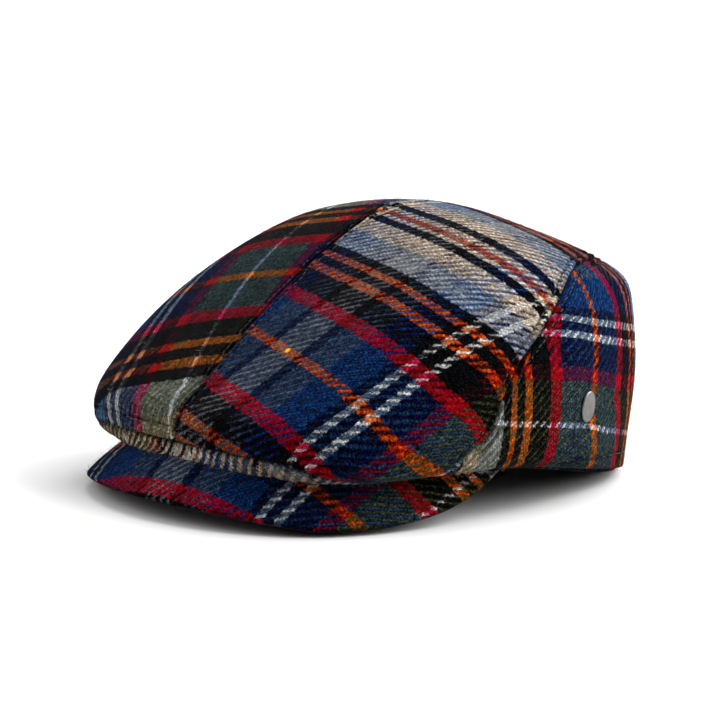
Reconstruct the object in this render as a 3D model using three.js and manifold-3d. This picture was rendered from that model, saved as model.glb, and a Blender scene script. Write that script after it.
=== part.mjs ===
// A flat cap with earflaps, set down on a table. Millimetres, +Z up.
// The peak points to -Y and the wearer's left side to +X.
// The back of the hem and the two corners of the peak touch the table at z = 0.
// The earflaps are folded up inside, as one band round the sides and the back.

import * as THREE from "three";
import { mergeVertices } from "three/addons/utils/BufferGeometryUtils.js";
import Module from "manifold-3d";

const wasm = await Module();
wasm.setup();

// ---- driving sizes -------------------------------------------------------

const GAP = 0.3; // clear space kept between pieces that meet
const CLOTH = 2.4; // crown cloth with its canvas and lining
const PEAK_BOARD = 3.2; // peak board with cloth above and below
const FLAP_CLOTH = 2.6; // flap, two layers pressed together
const ORIGIN_SHIFT = 14.6; // moves the middle of the cap's length to y = 0

// Each level line of the crown is an oval. front and back are its ends along Y, half is
// its half width, mid is the Y of its widest place, and zFront, zSide and zBack are its
// heights. squareFront and squareBack say how square it is: 2 is an ellipse.
const LEVEL_COLUMNS = [
  "front", "back", "half", "mid", "zFront", "zSide", "zBack", "squareFront", "squareBack",
];
const RIM_ROW = [-94.8, 98.7, 87.6, 4, 38.3, 16.8, 0.0, 2.1, 2.15];
const LEVEL_ROWS = [
  [-113.9, 100.0, 98.6, -6, 24.0, 18.8, 24.1, 4.1, 2.0], // underside of the bulge
  [-115.4, 103.2, 101.8, -8, 41.5, 44.0, 51.8, 3.3, 2.1], // widest place
  [-105.4, 102.5, 99.8, -8, 46.1, 67.3, 74.3, 2.9, 2.0], // shoulder
  [-79.6, 95.2, 88.3, -4, 69.8, 86.7, 84.7, 2.7, 2.5], // above the shoulder
  [-42.8, 73.3, 65.6, 6, 97.5, 108.1, 93.2, 1.8, 2.1], // round the top
  [-4.5, 31.5, 16.7, 12, 115.9, 115.9, 115.9, 2.0, 2.0], // flat of the top
];
const TOP_POINT = new THREE.Vector3(0, 3.5, 115.9);
const HEM_FLAT = 0.5; // how much of the hem's lowest part is pressed flat on the table

// Half of the peak's outer edge, from the middle of the front to where it dies into the
// hem. The other half is its mirror image.
const PEAK_EDGE_COLUMNS = ["x", "y", "z"];
const PEAK_EDGE_ROWS = [
  [0, -133.0, 6.8],
  [32.1, -129.1, 6.2],
  [61.4, -117.9, 4.2],
  [81.0, -99.5, 0.1],
  [90.8, -71.6, 1.1],
  [95.1, -40.8, 6.3],
  [87.7, -13.7, 19.4],
];
const PEAK_END = 77.1; // angle at the hem where the peak ends, from the front
const PEAK_CROWN = 2.56; // how far the peak bulges upwards
const PEAK_FLAT = 1.1; // how much of each lower corner is pressed flat on the table
const CROWN_ON_PEAK = 0.591; // share of the peak's length that the crown covers at the front
const CROWN_ON_PEAK_POWER = 3.03; // how fast that share falls to nothing at the sides

// Seams as a share of the way from the hem (0) to the top (1), at an angle from the front.
const FRONT_SEAM = [
  { angle: 0, share: 0.168 },
  { angle: 30, share: 0.168 },
  { angle: 36, share: 0.14 },
  { angle: 42, share: 0.08 },
  { angle: 48, share: 0 },
];
const BACK_SEAM = [
  { angle: 62, share: 0 },
  { angle: 64, share: 0.08 },
  { angle: 66, share: 0.15 },
  { angle: 68, share: 0.19 },
  { angle: 70, share: 0.21 },
  { angle: 74, share: 0.24 },
  { angle: 76, share: 0.27 },
  { angle: 78, share: 0.32 },
  { angle: 81, share: 0.368 },
  { angle: 84, share: 0.41 },
  { angle: 90, share: 0.46 },
  { angle: 96, share: 0.51 },
  { angle: 102, share: 0.56 },
  { angle: 108, share: 0.6 },
  { angle: 114, share: 0.625 },
  { angle: 126, share: 0.641 },
  { angle: 180, share: 0.648 },
];

const FLAP = { start: 84, inset: 3.0, drop: 1.3, neckHeight: 44, earHeight: 62 };
const BADGE = { angle: 105.7, share: 0.262, height: 13, width: 9.6, thick: 1.1, tilt: 6 };

const wool = { roughness: 0.95, metalness: 0 };
const MATERIALS = {
  crownLeft: new THREE.MeshStandardMaterial({ color: 0x3d4659, ...wool }),
  crownRight: new THREE.MeshStandardMaterial({ color: 0x4a4a42, ...wool }),
  back: new THREE.MeshStandardMaterial({ color: 0x45505a, ...wool }),
  strip: new THREE.MeshStandardMaterial({ color: 0x8d8676, ...wool }),
  peak: new THREE.MeshStandardMaterial({ color: 0x39435c, ...wool }),
  flap: new THREE.MeshStandardMaterial({ color: 0x2a2326, ...wool }),
  badge: new THREE.MeshStandardMaterial({ color: 0x9a958c, roughness: 0.35, metalness: 1 }),
};

// ---- shape of the crown and the peak -------------------------------------

const radians = THREE.MathUtils.degToRad;

function named(columns, row) {
  return Object.fromEntries(columns.map((name, i) => [name, row[i]]));
}

const RIM = named(LEVEL_COLUMNS, RIM_ROW);
const LEVELS = LEVEL_ROWS.map((row) => named(LEVEL_COLUMNS, row));
const PEAK_EDGE = PEAK_EDGE_ROWS.map((row) => named(PEAK_EDGE_COLUMNS, row));

// A point on a level line, in the direction of an angle in degrees from the front towards
// the left, seen from the middle of that line.
function levelPoint(level, angle) {
  const c = Math.cos(radians(angle));
  const s = Math.sin(radians(angle));
  const power = c > 0 ? level.squareFront : level.squareBack;
  const end = c > 0 ? level.mid - level.front : level.back - level.mid;
  const reach = (Math.abs(c / end) ** power + Math.abs(s / level.half) ** power) ** (-1 / power);
  const lengthwise = Math.sign(c) * ((reach * Math.abs(c)) / end) ** (power / 2);
  const ends = (level.zFront + level.zBack) / 2;
  const z = (ends + level.zSide) / 2
    + (lengthwise * (level.zFront - level.zBack)) / 2
    + ((2 * lengthwise ** 2 - 1) * (ends - level.zSide)) / 2;
  return new THREE.Vector3(reach * s, level.mid - reach * c, z);
}

// A point on a smooth curve that is guided by a list of points and starts and ends on them.
function smoothCurve(points, share) {
  const last = points.length - 1;
  const before = points[0].clone().multiplyScalar(2).sub(points[1]);
  const after = points[last].clone().multiplyScalar(2).sub(points[last - 1]);
  const guides = [before, ...points, after];
  const place = Math.min(Math.max(share, 0) * last, last - 1e-9);
  const i = Math.floor(place);
  const f = place - i;
  const weights = [
    (1 - f) ** 3,
    3 * f ** 3 - 6 * f ** 2 + 4,
    -3 * f ** 3 + 3 * f ** 2 + 3 * f + 1,
    f ** 3,
  ];
  const result = new THREE.Vector3();
  weights.forEach((weight, k) => result.addScaledVector(guides[i + k], weight / 6));
  return result;
}

function rimPoint(angle) {
  const point = levelPoint(RIM, angle);
  point.z = Math.max(0, point.z - HEM_FLAT);
  return point;
}

const rightEdge = PEAK_EDGE.slice(1).reverse().map((p) => new THREE.Vector3(-p.x, p.y, p.z));
const leftEdge = PEAK_EDGE.map((p) => new THREE.Vector3(p.x, p.y, p.z));
const edgeGuides = [...rightEdge, ...leftEdge];

// The peak's guiding skin: side runs from -1 to 1 round the peak, out from 0 at the hem to
// 1 at the outer edge.
function peakSkin(side, out) {
  const inner = rimPoint(side * PEAK_END);
  const outer = smoothCurve(edgeGuides, (side + 1) / 2);
  outer.z = Math.max(0, outer.z - PEAK_FLAT);
  const point = inner.lerp(outer, out);
  point.z += PEAK_CROWN * 4 * out * (1 - out) * (1 - side ** 4);
  return point;
}

// The crown's lower edge: just above the peak in front, and the hem at the sides and the
// back.
function lowerEdge(angle) {
  const turned = ((angle + 180) % 360 + 360) % 360 - 180;
  const side = turned / PEAK_END;
  const reach = Math.abs(side);
  const cover = CROWN_ON_PEAK * (1 - reach ** CROWN_ON_PEAK_POWER);
  const point = reach < 1 ? peakSkin(side, cover) : rimPoint(turned);
  point.z += GAP * (1 - THREE.MathUtils.smoothstep(reach, 1, 1.1));
  return point;
}

function crownPoint(angle, share) {
  const guides = [lowerEdge(angle), ...LEVELS.map((level) => levelPoint(level, angle)), TOP_POINT];
  return smoothCurve(guides, share);
}

// How the crown's skin runs at a point: along for one degree of angle, up for one unit of
// share, and the outward normal.
function crownFrame(angle, share) {
  const step = 1e-3;
  const low = Math.min(share, 1 - 2 * step);
  const along = crownPoint(angle + 0.5, low).sub(crownPoint(angle - 0.5, low));
  const up = crownPoint(angle, low + step).sub(crownPoint(angle, low)).divideScalar(step);
  const normal = along.clone().cross(up).normalize();
  return { along, up, normal };
}

function tableValue(table, angle) {
  const i = table.findIndex((row) => row.angle >= angle);
  if (i <= 0) {
    return i === 0 ? table[0].share : table.at(-1).share;
  }
  const [a, b] = [table[i - 1], table[i]];
  return a.share + ((b.share - a.share) * (angle - a.angle)) / (b.angle - a.angle);
}

// Share of the seam that the crown halves end on, and half a gap measured across it.
function seamShare(angle) {
  const folded = Math.abs(((angle + 180) % 360 + 360) % 360 - 180);
  const table = folded < (FRONT_SEAM.at(-1).angle + BACK_SEAM[0].angle) / 2 ? FRONT_SEAM : BACK_SEAM;
  const share = tableValue(table, folded);
  const slope = (tableValue(table, folded + 0.5) - tableValue(table, folded - 0.5));
  const { along, up } = crownFrame(folded, share);
  const seam = along.addScaledVector(up, slope).normalize();
  const across = up.addScaledVector(seam, -up.dot(seam)).length();
  return { share, halfGap: (0.6 * GAP) / across };
}

// ---- closed bodies --------------------------------------------------------

// A closed mesh from triangles given as corner points. Faces are turned outwards.
function closedBody(corners) {
  const loose = new THREE.BufferGeometry();
  loose.setAttribute("position", new THREE.Float32BufferAttribute(corners.flatMap((p) => [...p]), 3));
  const merged = mergeVertices(loose, 1e-4);
  const index = merged.index.array;
  const kept = [];
  for (let i = 0; i < index.length; i += 3) {
    const [a, b, c] = [index[i], index[i + 1], index[i + 2]];
    if (a !== b && b !== c && c !== a) {
      kept.push(a, b, c);
    }
  }
  merged.setIndex(kept);
  if (volume(merged) < 0) {
    merged.setIndex(kept.reverse());
  }
  return merged;
}

function volume(geometry) {
  const position = geometry.attributes.position;
  const index = geometry.index.array;
  const [a, b, c] = [new THREE.Vector3(), new THREE.Vector3(), new THREE.Vector3()];
  let sum = 0;
  for (let i = 0; i < index.length; i += 3) {
    a.fromBufferAttribute(position, index[i]);
    b.fromBufferAttribute(position, index[i + 1]);
    c.fromBufferAttribute(position, index[i + 2]);
    sum += a.dot(b.cross(c)) / 6;
  }
  return sum;
}

// A wall between two skins. Each skin is a grid of points, rows by columns.
function wallBody(outer, inner) {
  const corners = [];
  const face = (a, b, c, d) => corners.push(a, b, c, a, c, d);
  const rows = outer.length - 1;
  const columns = outer[0].length - 1;
  for (let r = 0; r < rows; r += 1) {
    for (let c = 0; c < columns; c += 1) {
      face(outer[r][c], outer[r][c + 1], outer[r + 1][c + 1], outer[r + 1][c]);
      face(inner[r][c], inner[r + 1][c], inner[r + 1][c + 1], inner[r][c + 1]);
    }
    face(outer[r][0], outer[r + 1][0], inner[r + 1][0], inner[r][0]);
    face(outer[r + 1][columns], outer[r][columns], inner[r][columns], inner[r + 1][columns]);
  }
  for (let c = 0; c < columns; c += 1) {
    face(outer[0][c + 1], outer[0][c], inner[0][c], inner[0][c + 1]);
    face(outer[rows][c], outer[rows][c + 1], inner[rows][c + 1], inner[rows][c]);
  }
  return closedBody(corners);
}

function asSolid(geometry) {
  const bare = new THREE.BufferGeometry();
  bare.setAttribute("position", geometry.attributes.position);
  bare.setIndex(geometry.index);
  const mesh = new wasm.Mesh({
    numProp: 3,
    vertProperties: new Float32Array(bare.attributes.position.array),
    triVerts: new Uint32Array(bare.index.array),
  });
  return new wasm.Manifold(mesh);
}

function asGeometry(solid) {
  const mesh = solid.getMesh();
  const geometry = new THREE.BufferGeometry();
  geometry.setAttribute("position", new THREE.BufferAttribute(new Float32Array(mesh.vertProperties), 3));
  geometry.setIndex(new THREE.BufferAttribute(new Uint32Array(mesh.triVerts), 1));
  return geometry;
}

// The space that a body's neighbours keep out of: the body and the gap all round it.
function keepOut(geometry) {
  const body = asSolid(geometry);
  const reach = [-GAP, 0, GAP];
  const shifts = reach.flatMap((x) => reach.flatMap((y) => reach.map((z) => new THREE.Vector3(x, y, z))));
  const moved = shifts.filter((shift) => shift.manhattanLength() !== 2 * GAP).map((shift) => {
    shift.clampLength(0, 1.1 * GAP);
    return asSolid(geometry.clone().translate(shift.x, shift.y, shift.z));
  });
  return moved.reduce((sum, copy) => sum.add(copy), body);
}

// What is left of a body after its neighbours' spaces are cut out of it: its largest part.
function cutAway(geometry, ...spaces) {
  const cut = spaces.reduce((solid, space) => solid.subtract(space), asSolid(geometry));
  const parts = cut.decompose();
  parts.sort((a, b) => b.volume() - a.volume());
  return asGeometry(parts[0]);
}

function range(first, last, step) {
  const count = Math.round((last - first) / step);
  return Array.from({ length: count + 1 }, (_, i) => first + (i * (last - first)) / count);
}

// The crown's inner skin lies one cloth inside the outer one and never under the table.
function innerPoint(angle, share) {
  const point = crownPoint(angle, share);
  if (share > 0.999) {
    return point.sub(new THREE.Vector3(0, 0, CLOTH));
  }
  point.addScaledVector(crownFrame(angle, share).normal, -CLOTH);
  point.z = Math.max(point.z, 0);
  return point;
}

function crownWall(angles, shares) {
  const outer = shares.map((row) => angles.map((angle) => crownPoint(angle, row(angle))));
  const inner = shares.map((row) => angles.map((angle) => innerPoint(angle, row(angle))));
  return wallBody(outer, inner);
}

// ---- the pieces -----------------------------------------------------------

const sideAngles = [...range(0, 60, 6), ...range(62, 78, 2), 81, 84, ...range(90, 180, 6)];

// One half of the crown's top, from the centre seam down to its lower seams.
function crownHalf(sign) {
  const rows = 13;
  const shares = range(0, rows, 1).map((i) => (angle) => {
    const { share, halfGap } = seamShare(angle);
    const start = share > 0 ? share + halfGap : 0;
    return start + ((1 - start) * i) / rows;
  });
  const geometry = crownWall(sideAngles, shares);
  const mirror = new THREE.Matrix4().makeScale(sign, 1, 1);
  const shift = new THREE.Matrix4().makeTranslation((sign * GAP) / 2, 0, 0);
  geometry.applyMatrix4(mirror).applyMatrix4(shift);
  if (sign < 0) {
    geometry.setIndex([...geometry.index.array].reverse());
  }
  return geometry;
}

// The panel that runs from one end of the peak round the back to the other.
function backPanel() {
  const left = [BACK_SEAM[0].angle + 1, ...sideAngles.filter((angle) => angle > BACK_SEAM[0].angle)];
  const right = left.slice(0, -1).reverse().map((angle) => 360 - angle);
  const rows = 7;
  const shares = range(0, rows, 1).map((i) => (angle) => {
    const { share, halfGap } = seamShare(angle);
    return (Math.max(share - halfGap, 0) * i) / rows;
  });
  return crownWall([...left, ...right], shares);
}

// The narrow strip between the crown halves and the peak.
function frontStrip() {
  const end = FRONT_SEAM.at(-1).angle;
  const rows = 2;
  const shares = range(0, rows, 1).map((i) => (angle) => {
    const { share, halfGap } = seamShare(angle);
    return (Math.max(share - halfGap, 0) * i) / rows;
  });
  return crownWall([2 - end, ...range(6 - end, end - 6, 6), end - 2], shares);
}

// The peak, a board covered with cloth. It stops a little short of the points where its
// inner and outer edges would meet.
function peakBody() {
  const sides = range(-0.98, 0.98, 0.98 / 16);
  const outs = range(0, 1, 1 / 6);
  const lift = (out) => THREE.MathUtils.smoothstep(out, 0.4, 1) * PEAK_BOARD;
  const skin = (height) => outs.map((out) => sides.map((side) => {
    const point = peakSkin(side, out);
    point.z += height(out);
    return point;
  }));
  return wallBody(skin(lift), skin((out) => lift(out) - PEAK_BOARD));
}

// The folded flap: a band inside the hem, with its fold a little below the hem where the
// cap is off the table. It is taller over the ears than at the neck.
function flapBody() {
  const steps = 30;
  const rows = [0, 0.04, 0.3, 0.65, 1];
  const skin = (inset) => rows.map((row) => range(0, steps, 1).map((i) => {
    const angle = FLAP.start + ((360 - 2 * FLAP.start) * i) / steps;
    const rim = rimPoint(angle);
    const inward = new THREE.Vector3(-rim.x, RIM.mid - rim.y, 0).normalize();
    const ear = Math.sin(radians(angle)) ** 2;
    const end = Math.min(1, (steps / 2 - Math.abs(i - steps / 2)) / 4 + 0.35);
    const height = (FLAP.neckHeight + (FLAP.earHeight - FLAP.neckHeight) * ear) * end;
    const foot = Math.max(0, rim.z - FLAP.drop);
    const point = rim.addScaledVector(inward, inset);
    point.z = foot + (height - foot * 0.5) * row;
    return point;
  }));
  return wallBody(skin(FLAP.inset), skin(FLAP.inset + FLAP_CLOTH));
}

// An oval metal plate with a rounded face, lying on the left side of the back panel.
function badgeBody() {
  const { height, width, thick } = BADGE;
  const profile = [
    [0, 0],
    [0.5, 0],
    [0.5, 0.55 * thick],
    [0.44, 0.9 * thick],
    [0.3, thick],
    [0, thick],
  ].map(([r, z]) => new THREE.Vector2(r, z));
  const lathe = new THREE.LatheGeometry(profile, 28);
  lathe.rotateX(Math.PI / 2).scale(width, height, 1);
  lathe.deleteAttribute("normal");
  lathe.deleteAttribute("uv");
  const flat = lathe.index ? lathe.toNonIndexed() : lathe;
  const position = flat.attributes.position;
  const corners = range(0, position.count - 1, 1).map(
    (i) => new THREE.Vector3().fromBufferAttribute(position, i),
  );
  return closedBody(corners);
}

function badgePlacement() {
  const base = crownPoint(BADGE.angle, BADGE.share);
  const { normal } = crownFrame(BADGE.angle, BADGE.share);
  const across = new THREE.Vector3(0, 0, 1).cross(normal).normalize();
  const up = normal.clone().cross(across);
  const turn = new THREE.Quaternion().setFromRotationMatrix(
    new THREE.Matrix4().makeBasis(across, up, normal),
  );
  turn.multiply(new THREE.Quaternion().setFromAxisAngle(new THREE.Vector3(0, 0, 1), -radians(BADGE.tilt)));
  return { position: base.addScaledVector(normal, GAP), turn };
}

// ---- the cap ---------------------------------------------------------------

const group = new THREE.Group();

function add(name, geometry, material) {
  geometry.computeVertexNormals();
  const mesh = new THREE.Mesh(geometry, material);
  mesh.name = name;
  group.add(mesh);
  return mesh;
}

const peak = peakBody();
const peakSpace = keepOut(peak);
const back = cutAway(backPanel(), peakSpace);
const strip = cutAway(frontStrip(), peakSpace);
const seamSpaces = [peakSpace, keepOut(back), keepOut(strip)];
add("crown_left", cutAway(crownHalf(1), ...seamSpaces), MATERIALS.crownLeft);
add("crown_right", cutAway(crownHalf(-1), ...seamSpaces), MATERIALS.crownRight);
add("back_panel", back, MATERIALS.back);
add("front_strip", strip, MATERIALS.strip);
add("peak", peak, MATERIALS.peak);
add("ear_flap", flapBody(), MATERIALS.flap);

const badge = add("badge", badgeBody(), MATERIALS.badge);
const { position, turn } = badgePlacement();
badge.position.copy(position);
badge.quaternion.copy(turn);

group.position.y = ORIGIN_SHIFT;

export default group;
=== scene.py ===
"""The looks of a flat cap with earflaps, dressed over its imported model.

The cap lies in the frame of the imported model: +Z up, the peak towards -Y and the wearer's left
side towards +X. Shapes are worked out in millimetres and stored in metres.
"""

import logging
import math
from dataclasses import dataclass, field
from enum import Enum
from typing import Any, Sequence

import bpy
import numpy as np
from bpy.types import Material, Mesh, Node, NodeSocket, NodeTree, Object
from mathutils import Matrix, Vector
from mathutils.bvhtree import BVHTree


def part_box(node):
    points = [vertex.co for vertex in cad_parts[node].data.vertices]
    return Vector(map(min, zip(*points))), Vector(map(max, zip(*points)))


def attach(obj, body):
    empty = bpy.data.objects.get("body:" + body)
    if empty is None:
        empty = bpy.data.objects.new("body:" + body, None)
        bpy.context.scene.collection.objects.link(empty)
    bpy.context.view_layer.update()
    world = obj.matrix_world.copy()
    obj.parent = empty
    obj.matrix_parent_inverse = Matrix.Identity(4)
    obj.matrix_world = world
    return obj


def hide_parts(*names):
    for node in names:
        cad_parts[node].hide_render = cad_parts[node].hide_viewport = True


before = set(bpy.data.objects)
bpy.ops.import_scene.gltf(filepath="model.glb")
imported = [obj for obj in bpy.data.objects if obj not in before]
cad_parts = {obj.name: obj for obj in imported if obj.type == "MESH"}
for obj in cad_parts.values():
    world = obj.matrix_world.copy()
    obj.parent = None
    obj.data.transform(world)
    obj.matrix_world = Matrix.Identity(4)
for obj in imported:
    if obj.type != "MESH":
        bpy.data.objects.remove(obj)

Array = np.ndarray
Table = tuple[tuple[float, float], ...]
Sockets = dict[str, NodeSocket]

LOG = logging.getLogger("cap")
MM = 0.001
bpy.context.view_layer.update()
STITCH_PITCH = 3.1  # millimetres from one topstitch to the next


# ---- small helpers ----


def smooth_step(value: Array, low: float, high: float) -> Array:
    """Returns 0 below low, 1 above high and a smooth rise between them."""
    share = np.clip((value - low) / (high - low), 0.0, 1.0)
    return share * share * (3.0 - 2.0 * share)


def unit(vectors: Array) -> Array:
    """Returns vectors scaled to length one."""
    return vectors / np.maximum(np.linalg.norm(vectors, axis=-1, keepdims=True), 1e-9)


def spaced(length: float, fine: Sequence[float], coarse: float) -> Array:
    """Spaces samples closely at the start of a length and evenly after that.

    Args:
        length: The whole length, in millimetres.
        fine: Distances of the first samples, in millimetres.
        coarse: Spacing of the rest, in millimetres.

    Returns:
        Distances from 0 to length.
    """
    rest = length - fine[-1]
    count = max(int(round(rest / coarse)), 1)
    return np.concatenate([fine, fine[-1] + rest * np.arange(1, count + 1) / count])


def cubic_taps(place: Array, count: int) -> tuple[Array, list[Array]]:
    """Weights that read a smooth curve through evenly spaced values.

    Args:
        place: Where to read, from 0 to count - 1.
        count: How many values there are.

    Returns:
        The index of the value before each place, and four weights for it and its neighbours.
    """
    start = np.clip(np.floor(place).astype(int), 0, count - 2)
    f = place - start
    weights = [
        -0.5 * f + f**2 - 0.5 * f**3,
        1.0 - 2.5 * f**2 + 1.5 * f**3,
        0.5 * f + 2.0 * f**2 - 1.5 * f**3,
        -0.5 * f**2 + 0.5 * f**3,
    ]
    return start, weights


def smooth_read(grid: Array, rows: Array, columns: Array) -> Array:
    """Reads a grid of values smoothly at any places.

    Args:
        grid: Values, rows by columns by parts.
        rows: Row places to read.
        columns: Column places to read, shaped like rows.

    Returns:
        The values there.
    """
    padded = np.concatenate([2 * grid[:1] - grid[1:2], grid, 2 * grid[-1:] - grid[-2:-1]])
    first, last = padded[:, :1], padded[:, -1:]
    padded = np.concatenate([2 * first - padded[:, 1:2], padded, 2 * last - padded[:, -2:-1]], axis=1)
    row, row_weights = cubic_taps(rows, grid.shape[0])
    column, column_weights = cubic_taps(columns, grid.shape[1])
    total = np.zeros(rows.shape + grid.shape[2:])
    for i, by_row in enumerate(row_weights):
        for j, by_column in enumerate(column_weights):
            total += (by_row * by_column)[..., None] * padded[row + i, column + j]
    return total


def nearest_on_line(points: Array, line: Array) -> tuple[Array, Array]:
    """Finds how far points are from a line, and where along it.

    Args:
        points: Points of any grid shape, three numbers each.
        line: The line's points in order.

    Returns:
        Distance to the line, and the length along the line of its nearest point.
    """
    flat = points.reshape(-1, 3)
    a, d = line[:-1], np.diff(line, axis=0)
    size = np.maximum((d * d).sum(1), 1e-12)
    run = np.concatenate([[0.0], np.cumsum(np.sqrt(size))])
    away, along = np.empty(len(flat)), np.empty(len(flat))
    for start in range(0, len(flat), 4000):
        part = slice(start, start + 4000)
        gap = flat[part, None] - a[None]
        share = np.clip((gap * d).sum(-1) / size, 0.0, 1.0)
        square = ((gap - share[..., None] * d) ** 2).sum(-1)
        best = square.argmin(1)
        rows = np.arange(len(best))
        away[part] = np.sqrt(square[rows, best])
        along[part] = run[best] + share[rows, best] * np.sqrt(size[best])
    return away.reshape(points.shape[:-1]), along.reshape(points.shape[:-1])


def line_length(line: Array) -> Array:
    """Returns the length along a line at each of its points."""
    return np.concatenate([[0.0], np.cumsum(np.linalg.norm(np.diff(line, axis=0), axis=1))])


# ---- the cap's form ----


@dataclass(frozen=True)
class Level:
    """One oval level line of the crown.

    Attributes:
        front: Its front end along Y.
        back: Its back end along Y.
        half: Its half width.
        mid: The Y of its widest place.
        z_front: Height at the front.
        z_side: Height at the sides.
        z_back: Height at the back.
        square_front: How square its front is; 2 is an ellipse.
        square_back: How square its back is.
    """

    front: float
    back: float
    half: float
    mid: float
    z_front: float
    z_side: float
    z_back: float
    square_front: float
    square_back: float

    def point(self, angle: Array) -> Array:
        """Finds points of the line.

        Args:
            angle: Angles in degrees, from the front towards the left.

        Returns:
            A point for each angle, in millimetres.
        """
        c, s = np.cos(np.radians(angle)), np.sin(np.radians(angle))
        power = np.where(c > 0, self.square_front, self.square_back)
        end = np.where(c > 0, self.mid - self.front, self.back - self.mid)
        reach = (np.abs(c / end) ** power + np.abs(s / self.half) ** power) ** (-1.0 / power)
        lengthwise = np.sign(c) * (reach * np.abs(c) / end) ** (power / 2.0)
        ends = (self.z_front + self.z_back) / 2.0
        height = (ends + self.z_side) / 2.0
        height = height + lengthwise * (self.z_front - self.z_back) / 2.0
        height = height + (2.0 * lengthwise**2 - 1.0) * (ends - self.z_side) / 2.0
        return np.stack([reach * s, self.mid - reach * c, height], axis=-1)


def guided_curve(guides: Array, share: Array) -> Array:
    """Smooth curves that start and end on their first and last guide points.

    Args:
        guides: Guide points, guides by curves by three.
        share: Places from 0 to 1, any rows by curves.

    Returns:
        Points, shaped like share by three.
    """
    padded = np.concatenate([2 * guides[:1] - guides[1:2], guides, 2 * guides[-1:] - guides[-2:-1]])
    last = len(guides) - 1
    place = np.minimum(np.clip(share, 0.0, 1.0) * last, last - 1e-9)
    i = place.astype(int)
    f = place - i
    weights = [
        (1 - f) ** 3,
        3 * f**3 - 6 * f**2 + 4,
        -3 * f**3 + 3 * f**2 + 3 * f + 1,
        f**3,
    ]
    curve = np.arange(padded.shape[1])
    return sum(w[..., None] * padded[i + k, curve] for k, w in enumerate(weights)) / 6.0


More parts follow.
